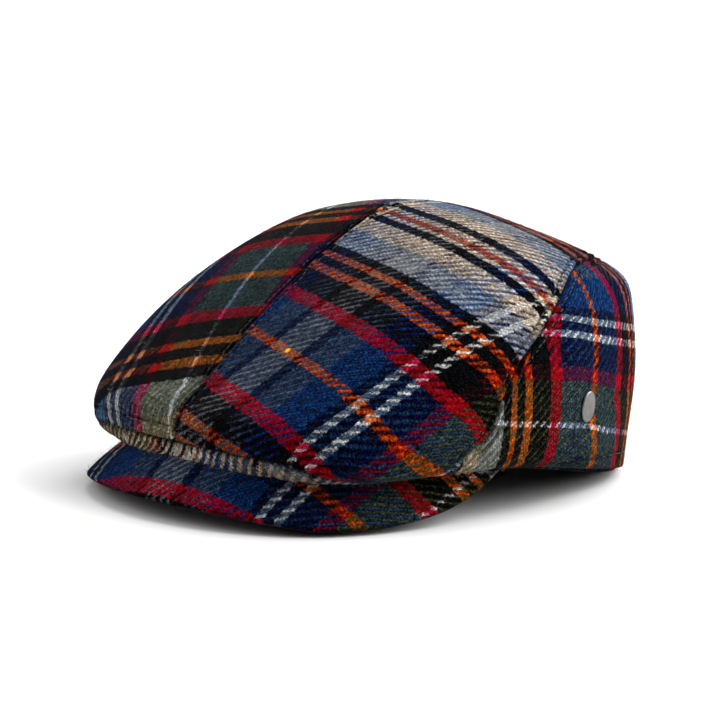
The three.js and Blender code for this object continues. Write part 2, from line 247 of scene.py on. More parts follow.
@dataclass(frozen=True)
class CapForm:
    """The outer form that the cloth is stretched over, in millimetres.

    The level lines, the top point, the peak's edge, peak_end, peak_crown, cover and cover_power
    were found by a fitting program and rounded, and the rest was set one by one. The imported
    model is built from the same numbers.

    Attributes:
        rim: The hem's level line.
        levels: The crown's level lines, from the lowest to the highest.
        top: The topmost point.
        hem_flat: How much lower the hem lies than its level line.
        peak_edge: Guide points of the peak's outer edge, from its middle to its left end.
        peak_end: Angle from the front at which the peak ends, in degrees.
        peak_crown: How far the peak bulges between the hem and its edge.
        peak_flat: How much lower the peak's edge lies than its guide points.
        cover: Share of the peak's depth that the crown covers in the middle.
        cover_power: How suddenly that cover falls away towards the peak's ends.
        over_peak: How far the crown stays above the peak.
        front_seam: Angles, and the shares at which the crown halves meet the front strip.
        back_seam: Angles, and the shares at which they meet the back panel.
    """

    rim: Level = Level(-94.8, 98.7, 87.6, 4, 38.3, 16.8, 0.0, 2.1, 2.15)
    levels: tuple[Level, ...] = (
        Level(-113.9, 100.0, 98.6, -6, 24.0, 18.8, 24.1, 4.1, 2.0),
        Level(-115.4, 103.2, 101.8, -8, 41.5, 44.0, 51.8, 3.3, 2.1),
        Level(-105.4, 102.5, 99.8, -8, 46.1, 67.3, 74.3, 2.9, 2.0),
        Level(-79.6, 95.2, 88.3, -4, 69.8, 86.7, 84.7, 2.7, 2.5),
        Level(-42.8, 73.3, 65.6, 6, 97.5, 108.1, 93.2, 1.8, 2.1),
        Level(-4.5, 31.5, 16.7, 12, 115.9, 115.9, 115.9, 2.0, 2.0),
    )
    top: tuple[float, float, float] = (0.0, 3.5, 115.9)
    hem_flat: float = 0.5
    peak_edge: tuple[tuple[float, float, float], ...] = (
        (0, -133.0, 6.8),
        (32.1, -129.1, 6.2),
        (61.4, -117.9, 4.2),
        (81.0, -99.5, 0.1),
        (90.8, -71.6, 1.1),
        (95.1, -40.8, 6.3),
        (87.7, -13.7, 19.4),
    )
    peak_end: float = 77.1
    peak_crown: float = 2.56
    peak_flat: float = 1.1
    cover: float = 0.591
    cover_power: float = 3.03
    over_peak: float = 0.3
    front_seam: Table = ((0, 0.168), (30, 0.168), (36, 0.14), (42, 0.08), (48, 0))
    back_seam: Table = (
        (62, 0), (64, 0.08), (66, 0.15), (68, 0.19), (70, 0.21), (74, 0.24), (76, 0.27), (78, 0.32),
        (81, 0.368), (84, 0.41), (90, 0.46), (96, 0.51), (102, 0.56), (108, 0.6), (114, 0.625),
        (126, 0.641), (180, 0.648),
    )

    def rim_point(self, angle: Array) -> Array:
        """Finds points of the hem line.

        Args:
            angle: Angles in degrees, from the front.

        Returns:
            A point for each angle, never below the ground.
        """
        point = self.rim.point(angle)
        point[..., 2] = np.maximum(point[..., 2] - self.hem_flat, 0.0)
        return point

    def peak_point(self, side: Array, out: Array) -> Array:
        """Points of the peak's guiding skin.

        Args:
            side: Place round the peak, from -1 at the right end to 1 at the left end.
            out: 0 at the hem and 1 at the outer edge, shaped like side.

        Returns:
            Points in millimetres.
        """
        left = np.array(self.peak_edge, float)
        guides = np.concatenate([(left[1:] * [-1.0, 1.0, 1.0])[::-1], left])
        guides = np.repeat(guides[:, None], side.size, axis=1)
        inner = self.rim_point(side * self.peak_end)
        outer = guided_curve(guides, (side.ravel() + 1.0) / 2.0).reshape(side.shape + (3,))
        outer[..., 2] = np.maximum(outer[..., 2] - self.peak_flat, 0.0)
        point = inner * (1.0 - out)[..., None] + outer * out[..., None]
        point[..., 2] += self.peak_crown * 4.0 * out * (1.0 - out) * (1.0 - side**4)
        return point

    def lower_edge(self, angle: Array) -> Array:
        """Finds the crown's lower edge: just over the peak in front, and the hem elsewhere.

        Args:
            angle: Angles in degrees, from the front.

        Returns:
            A point for each angle.
        """
        turned = (angle + 180.0) % 360.0 - 180.0
        side = turned / self.peak_end
        reach = np.abs(side)
        cover = np.maximum(self.cover * (1.0 - reach**self.cover_power), 0.0)
        on_peak = self.peak_point(np.clip(side, -1.0, 1.0), cover)
        point = np.where((reach < 1.0)[..., None], on_peak, self.rim_point(turned))
        point[..., 2] += self.over_peak * (1.0 - smooth_step(reach, 1.0, 1.1))
        return point

    def crown_point(self, angle: Array, share: Array) -> Array:
        """Points of the crown's skin.

        Args:
            angle: Angles of the columns, in degrees.
            share: Way from the lower edge (0) to the top (1), rows by columns.

        Returns:
            Points, rows by columns by three.
        """
        top = np.broadcast_to(np.array(self.top), (len(angle), 3))
        guides = np.stack([self.lower_edge(angle), *(row.point(angle) for row in self.levels), top])
        return np.stack([guided_curve(guides, row) for row in share])

    def seam_share(self, angle: Array) -> Array:
        """Finds the seam that the crown halves end on.

        Args:
            angle: Angles in degrees, from the front.

        Returns:
            The seam's share of the way up the crown, for each angle.
        """
        folded = np.abs((angle + 180.0) % 360.0 - 180.0)
        front, back = np.array(self.front_seam, float), np.array(self.back_seam, float)
        middle = (front[-1, 0] + back[0, 0]) / 2.0
        return np.where(
            folded < middle,
            np.interp(folded, front[:, 0], front[:, 1]),
            np.interp(folded, back[:, 0], back[:, 1]),
        )

    def shift(self) -> Array:
        """Returns the move from the construction's own origin to the frame, in millimetres."""
        tip = self.peak_point(np.zeros(1), np.ones(1))[0, 1]
        return np.array([0.0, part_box("peak")[0].y / MM - tip, 0.0])


FORM = CapForm()
SHIFT = FORM.shift()


# ---- laying a panel flat ----


class FlatPattern:
    """A curved panel laid flat with its distances kept as nearly as cloth allows."""

    def __init__(self, points: Array, first_guess: Array, rounds: int) -> None:
        """Lays the panel flat.

        Args:
            points: The curved panel, rows by columns by three.
            first_guess: A rough flat layout, rows by columns by two, that isn't mirrored.
            rounds: How many times the layout is improved.
        """
        self.shape = points.shape[:2]
        self._triangles(points.reshape(-1, 3))
        self._weights()
        self.flat = self._relax(first_guess.reshape(-1, 2), rounds).reshape(self.shape + (2,))

    def _triangles(self, corners: Array) -> None:
        """Splits each grid cell both ways and lays each triangle flat on its own.

        Args:
            corners: The curved panel's points, one to a row.
        """
        number = np.arange(len(corners)).reshape(self.shape)
        a, b = number[:-1, :-1].ravel(), number[:-1, 1:].ravel()
        c, d = number[1:, 1:].ravel(), number[1:, :-1].ravel()
        faces = np.concatenate([np.stack(f, axis=1) for f in ((a, b, c), (a, c, d), (a, b, d), (b, c, d))])
        one = corners[faces[:, 1]] - corners[faces[:, 0]]
        two = corners[faces[:, 2]] - corners[faces[:, 0]]
        sound = np.linalg.norm(np.cross(one, two), axis=1) > 2e-3
        self.faces, one, two = faces[sound], one[sound], two[sound]
        length = np.linalg.norm(one, axis=1)
        along = one / length[:, None]
        x = (two * along).sum(1)
        y = np.linalg.norm(two - x[:, None] * along, axis=1)
        self.local = np.zeros((len(self.faces), 3, 2))
        self.local[:, 1, 0] = length
        self.local[:, 2] = np.stack([x, y], axis=1)

    def _weights(self) -> None:
        """Weighs each edge by the angle it faces, and solves the system once."""
        corners = [self.local[:, k] for k in range(3)]
        self.edges = [(1, 2), (2, 0), (0, 1)]
        self.edge_weight = []
        total = np.prod(self.shape)
        matrix = np.zeros((total, total))
        for k, (i, j) in enumerate(self.edges):
            one, two = corners[i] - corners[k], corners[j] - corners[k]
            cross = np.abs(one[:, 0] * two[:, 1] - one[:, 1] * two[:, 0])
            weight = np.clip((one * two).sum(1) / np.maximum(cross, 1e-6), 0.02, 20.0)
            self.edge_weight.append(weight)
            p, q = self.faces[:, i], self.faces[:, j]
            for row, column, sign in ((p, p, 1), (q, q, 1), (p, q, -1), (q, p, -1)):
                np.add.at(matrix, (row, column), sign * weight / 2.0)
        matrix[0, 0] += 1.0
        self.inverse = np.linalg.inv(matrix + np.eye(total) * 1e-9)

    def _relax(self, flat: Array, rounds: int) -> Array:
        """Turns each triangle to fit its neighbours and joins them again, round by round.

        Args:
            flat: The first layout, one point to a row.
            rounds: How many rounds.

        Returns:
            The last layout.
        """
        anchor = flat[0].copy()
        for _ in range(rounds):
            turn = np.zeros((len(self.faces), 2, 2))
            for (i, j), weight in zip(self.edges, self.edge_weight):
                now = flat[self.faces[:, i]] - flat[self.faces[:, j]]
                rest = self.local[:, i] - self.local[:, j]
                turn += weight[:, None, None] * now[:, :, None] * rest[:, None, :]
            angle = np.arctan2(turn[:, 1, 0] - turn[:, 0, 1], turn[:, 0, 0] + turn[:, 1, 1])
            c, s = np.cos(angle), np.sin(angle)
            wanted = np.zeros_like(flat)
            for (i, j), weight in zip(self.edges, self.edge_weight):
                rest = self.local[:, i] - self.local[:, j]
                x = (c * rest[:, 0] - s * rest[:, 1]) * weight / 2.0
                y = (s * rest[:, 0] + c * rest[:, 1]) * weight / 2.0
                pull = np.stack([x, y], axis=1)
                np.add.at(wanted, self.faces[:, i], pull)
                np.add.at(wanted, self.faces[:, j], -pull)
            wanted[0] += anchor
            flat = self.inverse @ wanted
        return flat


# ---- yarns and the sett ----


class Yarn(Enum):
    """A dyed wool yarn: red, green and blue from 0 to 255, and its loft from 0 to 1.

    A lofty yarn spreads over the one that it crosses.
    """

    NAVY = (12, 16, 38, 0.3)
    INK = (8, 6, 7, 0.76)
    DENIM = (23, 53, 101, 0.4)
    STEEL = (35, 51, 75, 0.5)
    SLATE = (62, 70, 88, 0.5)
    MIST = (104, 104, 108, 0.5)
    CHALK = (196, 197, 194, 0.3)
    CRIMSON = (150, 4, 32, 0.9)
    GARNET = (118, 8, 34, 0.15)
    MOSS = (70, 72, 48, 0.4)
    ORANGE = (188, 72, 24, 0.45)
    RUST = (160, 68, 42, 0.8)
    SILVER = (138, 142, 148, 0.85)
    CREAM = (192, 172, 148, 0.95)

    def colour(self) -> tuple[float, float, float, float]:
        """Changes the dye to the numbers that a shader takes.

        Returns:
            Red, green and blue as shares of light, and the loft in place of the opacity.
        """
        shares = [c / 255.0 for c in self.value[:3]]
        linear = [c / 12.92 if c <= 0.04045 else ((c + 0.055) / 1.055) ** 2.4 for c in shares]
        return (linear[0], linear[1], linear[2], self.value[3])


@dataclass(frozen=True)
class Stripe:
    """A run of threads of one yarn.

    Attributes:
        yarn: The yarn.
        width: How wide the run lies, in millimetres.
    """

    yarn: Yarn
    width: float


@dataclass(frozen=True)
class Sett:
    """Half a repeat of the check in one direction, mirrored at both of its ends.

    Attributes:
        start: Where the first mirror line lies on the cloth, in millimetres.
        stripes: The stripes from one mirror line to the next.
    """

    start: float
    stripes: tuple[Stripe, ...]

    def length(self) -> float:
        """Returns the length of half a repeat."""
        return sum(stripe.width for stripe in self.stripes)


WARP = Sett(
    15.0,
    (
        Stripe(Yarn.MIST, 9.0), Stripe(Yarn.NAVY, 5.0), Stripe(Yarn.SLATE, 14.0),
        Stripe(Yarn.DENIM, 19.0), Stripe(Yarn.NAVY, 4.0), Stripe(Yarn.CHALK, 3.0),
        Stripe(Yarn.NAVY, 5.0), Stripe(Yarn.CHALK, 3.0), Stripe(Yarn.NAVY, 11.0),
        Stripe(Yarn.GARNET, 6.5), Stripe(Yarn.MOSS, 19.5), Stripe(Yarn.CHALK, 1.5),
    ),
)
WEFT = Sett(
    -56.2,
    (
        Stripe(Yarn.ORANGE, 2.1), Stripe(Yarn.STEEL, 19.1), Stripe(Yarn.CRIMSON, 7.0),
        Stripe(Yarn.INK, 11.0), Stripe(Yarn.ORANGE, 4.5), Stripe(Yarn.INK, 3.8),
        Stripe(Yarn.ORANGE, 4.0), Stripe(Yarn.INK, 4.7), Stripe(Yarn.SILVER, 12.0),
        Stripe(Yarn.CREAM, 9.0), Stripe(Yarn.INK, 4.0), Stripe(Yarn.CREAM, 3.0), Stripe(Yarn.RUST, 2.0),
    ),
)


# ---- node trees ----


class Graph:
    """A node tree under construction."""

    def __init__(self, tree: NodeTree) -> None:
        """Starts from a tree and clears it."""
        self.tree = tree
        tree.nodes.clear()

    def node(self, kind: str, inputs: dict[Any, Any] | None = None, **settings: Any) -> Node:
        """Adds a node.

        Args:
            kind: The node's type name.
            inputs: Values or sockets for its inputs, by name or number.
            settings: The node's own properties.

        Returns:
            The new node.
        """
        made = self.tree.nodes.new(kind)
        for name, value in settings.items():
            setattr(made, name, value)
        for key, value in (inputs or {}).items():
            self.feed(made.inputs[key], value)
        return made

    def feed(self, socket: NodeSocket, value: Any) -> None:
        """Links a socket to another, or sets its value.

        Args:
            socket: The input.
            value: A socket to link it to, or a plain value.
        """
        if isinstance(value, NodeSocket):
            self.tree.links.new(value, socket)
        else:
            socket.default_value = value

    def math(self, operation: str, *values: Any, use_clamp: bool = False) -> NodeSocket:
        """Returns the result of a Math node on values or sockets, kept from 0 to 1 where asked."""
        inputs = dict(enumerate(values))
        return self.node("ShaderNodeMath", inputs, operation=operation, use_clamp=use_clamp).outputs[0]

    def mix(self, share: Any, one: Any, two: Any) -> NodeSocket:
        """Returns a colour between two, by a share from 0 to 1."""
        made = self.node("ShaderNodeMix", {0: share, 6: one, 7: two}, data_type="RGBA")
        return made.outputs[2]

    def blend(self, share: Any, one: Any, two: Any) -> NodeSocket:
        """Returns a number between two, by a share from 0 to 1."""
        return self.node("ShaderNodeMix", {0: share, 2: one, 3: two}, data_type="FLOAT").outputs[0]

    def tint(self, colour: Any, amount: Any) -> NodeSocket:
        """Returns a colour multiplied by a number."""
        inputs = {0: colour, "Scale": amount}
        return self.node("ShaderNodeVectorMath", inputs, operation="SCALE").outputs[0]

    def vector(self, operation: str, one: Any, two: Any) -> NodeSocket:
        """Returns the result of a Vector Math node on two vectors."""
        return self.node("ShaderNodeVectorMath", {0: one, 1: two}, operation=operation).outputs[0]

    def point(self, x: Any, y: Any, z: Any) -> NodeSocket:
        """Returns a vector of three numbers."""
        return self.node("ShaderNodeCombineXYZ", {0: x, 1: y, 2: z}).outputs[0]

    def shifted(self, place: Any, amount: float) -> NodeSocket:
        """Returns a place moved by the same amount along each axis."""
        return self.vector("ADD", place, (amount,) * 3)

    def noise(self, place: Any, scale: float, detail: float = 2.0) -> NodeSocket:
        """Returns smooth noise from 0 to 1 at a place."""
        inputs = {"Vector": place, "Scale": scale, "Detail": detail}
        return self.node("ShaderNodeTexNoise", inputs).outputs["Fac"]

    def chance(self, place: Any) -> NodeSocket:
        """Returns a random number from 0 to 1 for each whole value of a place."""
        return self.node("ShaderNodeTexWhiteNoise", {"Vector": place}).outputs["Value"]


def surface_graph(name: str, looks: dict[str, Any]) -> tuple[Material, Graph, Node]:
    """Starts a material.

    Args:
        name: The material's name.
        looks: Plain values of its shader, by input.

    Returns:
        The material, its graph and its shader node, already joined to the output.
    """
    material = bpy.data.materials.new(name)
    material.use_nodes = True
    graph = Graph(material.node_tree)
    shader = graph.node("ShaderNodeBsdfPrincipled", looks)
    output = graph.node("ShaderNodeOutputMaterial")
    graph.feed(output.inputs["Surface"], shader.outputs[0])
    return material, graph, shader


# ---- finishes ----


@dataclass(frozen=True)
class Tweed:
    """Brushed wool tweed in a two and two twill, with its check.

    The cloth attribute gives each point's place on the cloth in millimetres, across the warp in
    x and across the weft in y, and its distance from the nearest edge in z. A second attribute
    gives the painted shade of the seams and stitch grooves there, from 0 to 1.

    Attributes:
        name: The material's name.
        thread: Width of one thread, in millimetres.
        haze: How far the nap hides the crossings, where the dyes of warp and weft mingle.
        dye_spread: How much the dye varies along a thread.
        fray: How far a thread's sides fray, in millimetres.
        bulk: How much more of a crossing the loftier yarn takes.
        merged: How far the steps of the twill run together into slanting ribs.
        uneven: How much the ribs break up along their length.
        relief: Height of a thread, in millimetres.
        deep: Light lost in the pile, taken off the colour everywhere.
        least: The darkest that is left after that.
        stray: Brightness of the pale stray fibres.
        stray_dye: Their colour.
        fleck: Place on the cloth of its one yellow tuft, or None.
        fleck_dye: The tuft's colour.
        depth: How light the threads are.
        roughness: Roughness of the surface.
        sheen: Weight of the sheen of the nap.
    """

    name: str = "tweed"
    thread: float = 1.12
    haze: float = 0.4
    dye_spread: float = 0.35
    fray: float = 1.3
    bulk: float = 0.6
    merged: float = 0.65
    uneven: float = 2.2
    relief: float = 0.32
    deep: float = 0.01
    least: float = 0.0004
    stray: float = 0.045
    stray_dye: tuple[float, float, float] = (0.85, 0.92, 1.0)
    fleck: tuple[float, float] | None = None
    fleck_dye: tuple[float, float, float, float] = (0.75, 0.45, 0.03, 1.0)
    depth: float = 0.66
    roughness: float = 0.95
    sheen: float = 0.1

    def yarns(self, graph: Graph, place: Any, sett: Sett) -> Sequence[NodeSocket]:
        """Finds the yarn of the thread at a place across the sett.

        Args:
            graph: The material's graph.
            place: The place, in millimetres on the cloth.
            sett: The stripes in that direction.

        Returns:
            The yarn's colour and its loft.
        """
        moved = graph.math("SUBTRACT", place, sett.start)
        folded = graph.math("PINGPONG", moved, sett.length())
        share = graph.math("DIVIDE", folded, sett.length())
        ramp = graph.node("ShaderNodeValToRGB", {0: share})
        ramp.color_ramp.interpolation = "CONSTANT"
        stops = ramp.color_ramp.elements
        stops.remove(stops[1])
        at = 0.0
        for number, stripe in enumerate(sett.stripes):
            stop = stops[0] if number == 0 else stops.new(at / sett.length())
            stop.color = stripe.yarn.colour()
            at += stripe.width
        return ramp.outputs

    def threads(self, graph: Graph) -> Sockets:
        """Finds which thread lies on top at each point, and how it curves.

        Args:
            graph: The material's graph.

        Returns:
            Sockets by name: cloth (the place on the cloth), s and t (the same with the threads'
            wander), warp and weft (numbers of the threads that cross there), rise (0 between
            threads to 1 on top of them), rib (1 on a rib of warp to 0 on a rib of weft) and
            along_rib (a place that changes slowly along the ribs of the twill).
        """
        cloth = graph.node("ShaderNodeAttribute", attribute_name="cloth").outputs["Vector"]
        parts = graph.node("ShaderNodeSeparateXYZ", {0: cloth}).outputs
        places = []
        for number, part in enumerate(parts[:2]):
            slow = graph.noise(graph.shifted(cloth, 40.0 * number), 0.13)
            quick = graph.noise(graph.shifted(cloth, 90.0 + 40.0 * number), 0.8)
            frayed = graph.noise(graph.shifted(cloth, 170.0 + 40.0 * number), 2.4)
            for wander, reach in ((slow, 1.2), (quick, 2.0), (frayed, self.fray)):
                part = graph.math("MULTIPLY_ADD", graph.math("SUBTRACT", wander, 0.5), reach, part)
            places.append(part)
        s, t = places
        s_count, t_count = graph.math("DIVIDE", s, self.thread), graph.math("DIVIDE", t, self.thread)
        warp, weft = graph.math("FLOOR", s_count), graph.math("FLOOR", t_count)
        s_part, t_part = graph.math("FRACT", s_count), graph.math("FRACT", t_count)
        step = graph.math("FLOORED_MODULO", graph.math("SUBTRACT", warp, weft), 4.0)
        top = graph.math("LESS_THAN", step, 1.5)
        warp_run = graph.math("ADD", graph.math("SUBTRACT", 1.0, step), t_part)
        weft_run = graph.math("ADD", graph.math("SUBTRACT", step, 2.0), s_part)
        run = graph.blend(top, weft_run, warp_run)
        across = graph.blend(top, t_part, s_part)
        arch = graph.math("SINE", graph.math("MULTIPLY", run, math.pi / 2.0))
        round_ = graph.math("SINE", graph.math("MULTIPLY", across, math.pi))
        lifted = graph.math("MULTIPLY_ADD", arch, 0.85, 0.15)
        along = graph.blend(top, s_count, t_count)
        twist = graph.math("MULTIPLY_ADD", along, 1.5 * math.tau, graph.math("MULTIPLY", across, -5.0))
        ply = graph.math("MULTIPLY_ADD", graph.math("SINE", twist), 0.14, 0.86)
        full = graph.math("MULTIPLY_ADD", round_, 0.55, 0.45)
        rise = graph.math("MULTIPLY", graph.math("MULTIPLY", full, lifted), ply)
        slant = graph.math("SUBTRACT", s_count, t_count)
        fold = graph.math("PINGPONG", graph.math("SUBTRACT", slant, 0.5), 2.0)
        lean = graph.math("MULTIPLY_ADD", fold, -0.5, 1.0)
        rib = graph.blend(self.merged, top, lean)
        run_on = graph.math("MULTIPLY", graph.math("ADD", s_count, t_count), 0.09)
        along_rib = graph.point(graph.math("MULTIPLY", slant, 0.42), run_on, 0.0)
        return dict(cloth=cloth, s=s, t=t, warp=warp, weft=weft, rib=rib, rise=rise, along_rib=along_rib)

    def dyed(self, graph: Graph, on: Sockets, number: str, along: str, sett: Sett) -> Sequence[NodeSocket]:
        """Dyes the threads of one direction.

        Args:
            graph: The material's graph.
            on: The sockets that threads() returns.
            number: Name there of the thread's number.
            along: Name there of the place along the thread.
            sett: The stripes in that direction.

        Returns:
            The thread's colour and its loft.
        """
        centre = graph.math("MULTIPLY", graph.math("ADD", on[number], 0.5), self.thread)
        plain, loft = self.yarns(graph, centre, sett)
        row = graph.math("MULTIPLY", on[number], 0.37)
        streak = graph.point(row, graph.math("MULTIPLY", on[along], 0.5), sett.length())
        spread = graph.noise(streak, 1.0, 3.0)
        spread = graph.math("MULTIPLY_ADD", spread, 2.4 * self.dye_spread, 1.0 - 1.2 * self.dye_spread)
        luck = graph.chance(graph.point(on[number], sett.length(), 0.0))
        slub = graph.chance(graph.point(on["warp"], on["weft"], sett.length()))
        thread = graph.math("MULTIPLY_ADD", slub, 0.9, graph.math("MULTIPLY_ADD", luck, 0.3, 0.4))
        return graph.tint(plain, graph.math("MULTIPLY", spread, thread)), loft

    def warp_over(self, graph: Graph, on: Sockets, fuller: NodeSocket) -> NodeSocket:
        """Finds whether the warp or the weft shows.

        Args:
            graph: The material's graph.
            on: The sockets that threads() returns.
            fuller: How much loftier the weft is than the warp.

        Returns:
            A number above 0 where the warp shows and below 0 where the weft does, and near 0
            along the line between them.
        """
        broken = graph.noise(on["along_rib"], 1.0, 3.0)
        uneven = graph.math("MULTIPLY_ADD", broken, self.uneven, -self.uneven / 2)
        ragged = graph.math("MULTIPLY_ADD", graph.noise(on["cloth"], 2.3, 3.0), 1.8, -0.9)
        level = graph.math("ADD", graph.math("MULTIPLY_ADD", fuller, self.bulk, 0.5), uneven)
        return graph.math("SUBTRACT", graph.math("ADD", on["rib"], ragged), level)

    def shade(self, graph: Graph, on: Sockets, over: NodeSocket) -> NodeSocket:
        """Finds the painted shade of the cloth, and the grain of its fibres.

        Args:
            graph: The material's graph.
            on: The sockets that threads() returns.
            over: The number that warp_over() returns.

        Returns:
            A number to multiply the dye by: painted shade in the hollows between threads, along
            the line where warp and weft meet and in the seams and stitch grooves, and the dips of
            the fibres' grain.
        """
        # painted shade: darker along the line where warp and weft meet
        near = graph.math("MULTIPLY", graph.math("ABSOLUTE", over), 3.0, use_clamp=True)
        hollow = graph.math("MULTIPLY_ADD", near, 0.62, 0.42)
        # painted shade: darker in the hollows between threads and down their sides
        shadow = graph.math("MULTIPLY_ADD", on["rise"], 1.2 * self.depth, 0.4 * self.depth)
        shadow = graph.math("MULTIPLY", shadow, hollow)
        fibres = graph.math("MULTIPLY_ADD", graph.noise(on["cloth"], 1.9, 4.0), 5.0, -1.9)
        fibres = graph.math("ADD", graph.noise(on["cloth"], 0.45, 3.0), fibres)
        fibres = graph.math("MAXIMUM", fibres, 0.12)
        # painted shade in the seams and stitch grooves
        seam_shade = graph.node("ShaderNodeAttribute", attribute_name="seam_shade").outputs["Fac"]
        flat = graph.math("MULTIPLY_ADD", seam_shade, -0.6, 1.0)
        return graph.math("MULTIPLY", graph.math("MULTIPLY", shadow, fibres), flat)

    def strays(self, graph: Graph, on: Sockets) -> NodeSocket:
        """Finds the light of the pale stray fibres.

        Args:
            graph: The material's graph.
            on: The sockets that threads() returns.

        Returns:
            A colour to add.
        """
        speck = graph.noise(graph.shifted(on["cloth"], 250.0), 2.5, 4.0)
        speck = graph.math("MULTIPLY_ADD", speck, 10.0, -6.0, use_clamp=True)
        return graph.tint(self.stray_dye, graph.math("MULTIPLY", speck, self.stray))

    def colour(self, graph: Graph, on: Sockets) -> NodeSocket:
        """Finds the colour of the cloth, thread by thread.

        Args:
            graph: The material's graph.
            on: The sockets that threads() returns.

        Returns:
            The colour.
        """
        warp, warp_loft = self.dyed(graph, on, "warp", "t", WARP)
        weft, weft_loft = self.dyed(graph, on, "weft", "s", WEFT)
        over = self.warp_over(graph, on, graph.math("SUBTRACT", weft_loft, warp_loft))
        warp_share = graph.math("MULTIPLY_ADD", over, 5.5, 0.5, use_clamp=True)
        crisp = graph.mix(warp_share, weft, warp)
        both = graph.vector("MULTIPLY", warp, weft)
        felted = graph.node("ShaderNodeGamma", {"Color": both, "Gamma": 0.5}).outputs[0]
        cloud = graph.noise(on["cloth"], 0.9, 4.0)
        haze = graph.math("MULTIPLY_ADD", cloud, 1.2, self.haze - 0.6)
        lit = graph.tint(graph.mix(haze, crisp, felted), self.shade(graph, on, over))
        darker = graph.vector("SUBTRACT", lit, (self.deep,) * 3)
        kept = graph.vector("MAXIMUM", darker, (self.least,) * 3)
        colour = graph.vector("ADD", kept, self.strays(graph, on))
        return colour if self.fleck is None else self.flecked(graph, on, colour)

    def flecked(self, graph: Graph, on: Sockets, colour: NodeSocket) -> NodeSocket:
        """Adds the one small tuft of yellow wool that is caught in the cloth.

        Args:
            graph: The material's graph.
            on: The sockets that threads() returns.
            colour: The colour of the cloth.

        Returns:
            The colour of the cloth with the tuft.
        """
        level = graph.vector("MULTIPLY", on["cloth"], (1.0, 1.0, 0.0))
        places = {0: level, 1: (*self.fleck, 0.0)}
        away = graph.node("ShaderNodeVectorMath", places, operation="DISTANCE").outputs["Value"]
        ragged = graph.math("MULTIPLY_ADD", graph.noise(on["cloth"], 1.3), -1.2, 1.95)
        tuft = graph.math("MULTIPLY", graph.math("SUBTRACT", ragged, away), 2.5, use_clamp=True)
        return graph.mix(tuft, colour, self.fleck_dye)

    def material(self) -> Material:
        """Makes the cloth's finish.

        Returns:
            The material.
        """
        looks = {"Roughness": self.roughness, "Specular IOR Level": 0.0, "Sheen Weight": self.sheen}
        looks |= {"Sheen Roughness": 0.12, "Sheen Tint": (0.55, 0.6, 0.7, 1.0)}
        made, graph, shader = surface_graph(self.name, looks)
        on = self.threads(graph)
        colour = self.colour(graph, on)
        hairs = graph.noise(on["cloth"], 3.1, 3.0)
        height = graph.math("MULTIPLY_ADD", hairs, 0.35, on["rise"])
        inputs = {"Strength": 0.9, "Distance": self.relief * MM, "Height": height}
        bump = graph.node("ShaderNodeBump", inputs)
        graph.feed(shader.inputs["Base Color"], colour)
        graph.feed(shader.inputs["Normal"], bump.outputs[0])
        return made


@dataclass(frozen=True)
class TweedFibre(Tweed):
    """Loose hairs that stand off the tweed, dyed like the yarn they come from.

    Attributes:
        name: The material's name.
        light: How light they are beside their yarn.
    """

    name: str = "tweed_fibre"
    light: float = 0.78

    def material(self) -> Material:
        """Makes the hairs' finish.

        Returns:
            The material.
        """
        made, graph, shader = surface_graph(self.name, {"Roughness": 0.9, "Specular IOR Level": 0.0})
        on = self.threads(graph)
        warp, weft = self.yarns(graph, on["s"], WARP)[0], self.yarns(graph, on["t"], WEFT)[0]
        either = graph.math("GREATER_THAN", graph.chance(on["cloth"]), 0.5)
        graph.feed(shader.inputs["Base Color"], graph.tint(graph.mix(either, warp, weft), self.light))
        return made


@dataclass(frozen=True)
class Lining:
    """A plain dark cotton twill inside the crown.

    Attributes:
        name: The material's name.
        colour: The dye, as shares of light.
    """

    name: str = "lining"
    colour: tuple[float, float, float] = (0.012, 0.014, 0.022)

    def material(self) -> Material:
        """Makes the lining's finish.

        Returns:
            The material.
        """
        made, graph, shader = surface_graph(self.name, {"Roughness": 0.7})
        cloth = graph.node("ShaderNodeAttribute", attribute_name="cloth").outputs["Vector"]
        parts = graph.node("ShaderNodeSeparateXYZ", {0: cloth}).outputs
        slant = graph.math("ADD", parts[0], parts[1])
        ridge = graph.math("SINE", graph.math("MULTIPLY", slant, 9.0))
        cloud = graph.noise(cloth, 0.4, 3.0)
        amount = graph.math("MULTIPLY_ADD", cloud, 0.6, 0.7)
        amount = graph.math("MULTIPLY_ADD", ridge, 0.12, amount)
        graph.feed(shader.inputs["Base Color"], graph.tint(self.colour, amount))
        bump = graph.node("ShaderNodeBump", {"Strength": 0.5, "Distance": 0.1 * MM, "Height": ridge})
        graph.feed(shader.inputs["Normal"], bump.outputs[0])
        return made


@dataclass(frozen=True)
class CloudedFinish:
    """A plain finish between two colours, mingled in soft clouds.

    Attributes:
        name: The material's name.
        dark: Its darker colour.
        pale: Its paler colour.
        clouds: How fine the clouds are, to the metre.
        detail: How ragged they are.
        looks: Plain values of its shader, by input.
    """

    name: str
    dark: tuple[float, float, float]
    pale: tuple[float, float, float]
    clouds: float
    detail: float
    looks: dict[str, float]

    def started(self) -> tuple[Material, Graph, Node, NodeSocket]:
        """Starts the material.

        Returns:
            The material, its graph, its shader and the place that its patterns follow.
        """
        made, graph, shader = surface_graph(self.name, self.looks)
        place = graph.node("ShaderNodeTexCoord").outputs["Object"]
        cloud = graph.noise(place, self.clouds, self.detail)
        graph.feed(shader.inputs["Base Color"], graph.mix(cloud, (*self.dark, 1.0), (*self.pale, 1.0)))
        return made, graph, shader, place

    def material(self) -> Material:
        """Returns the finish."""
        return self.started()[0]


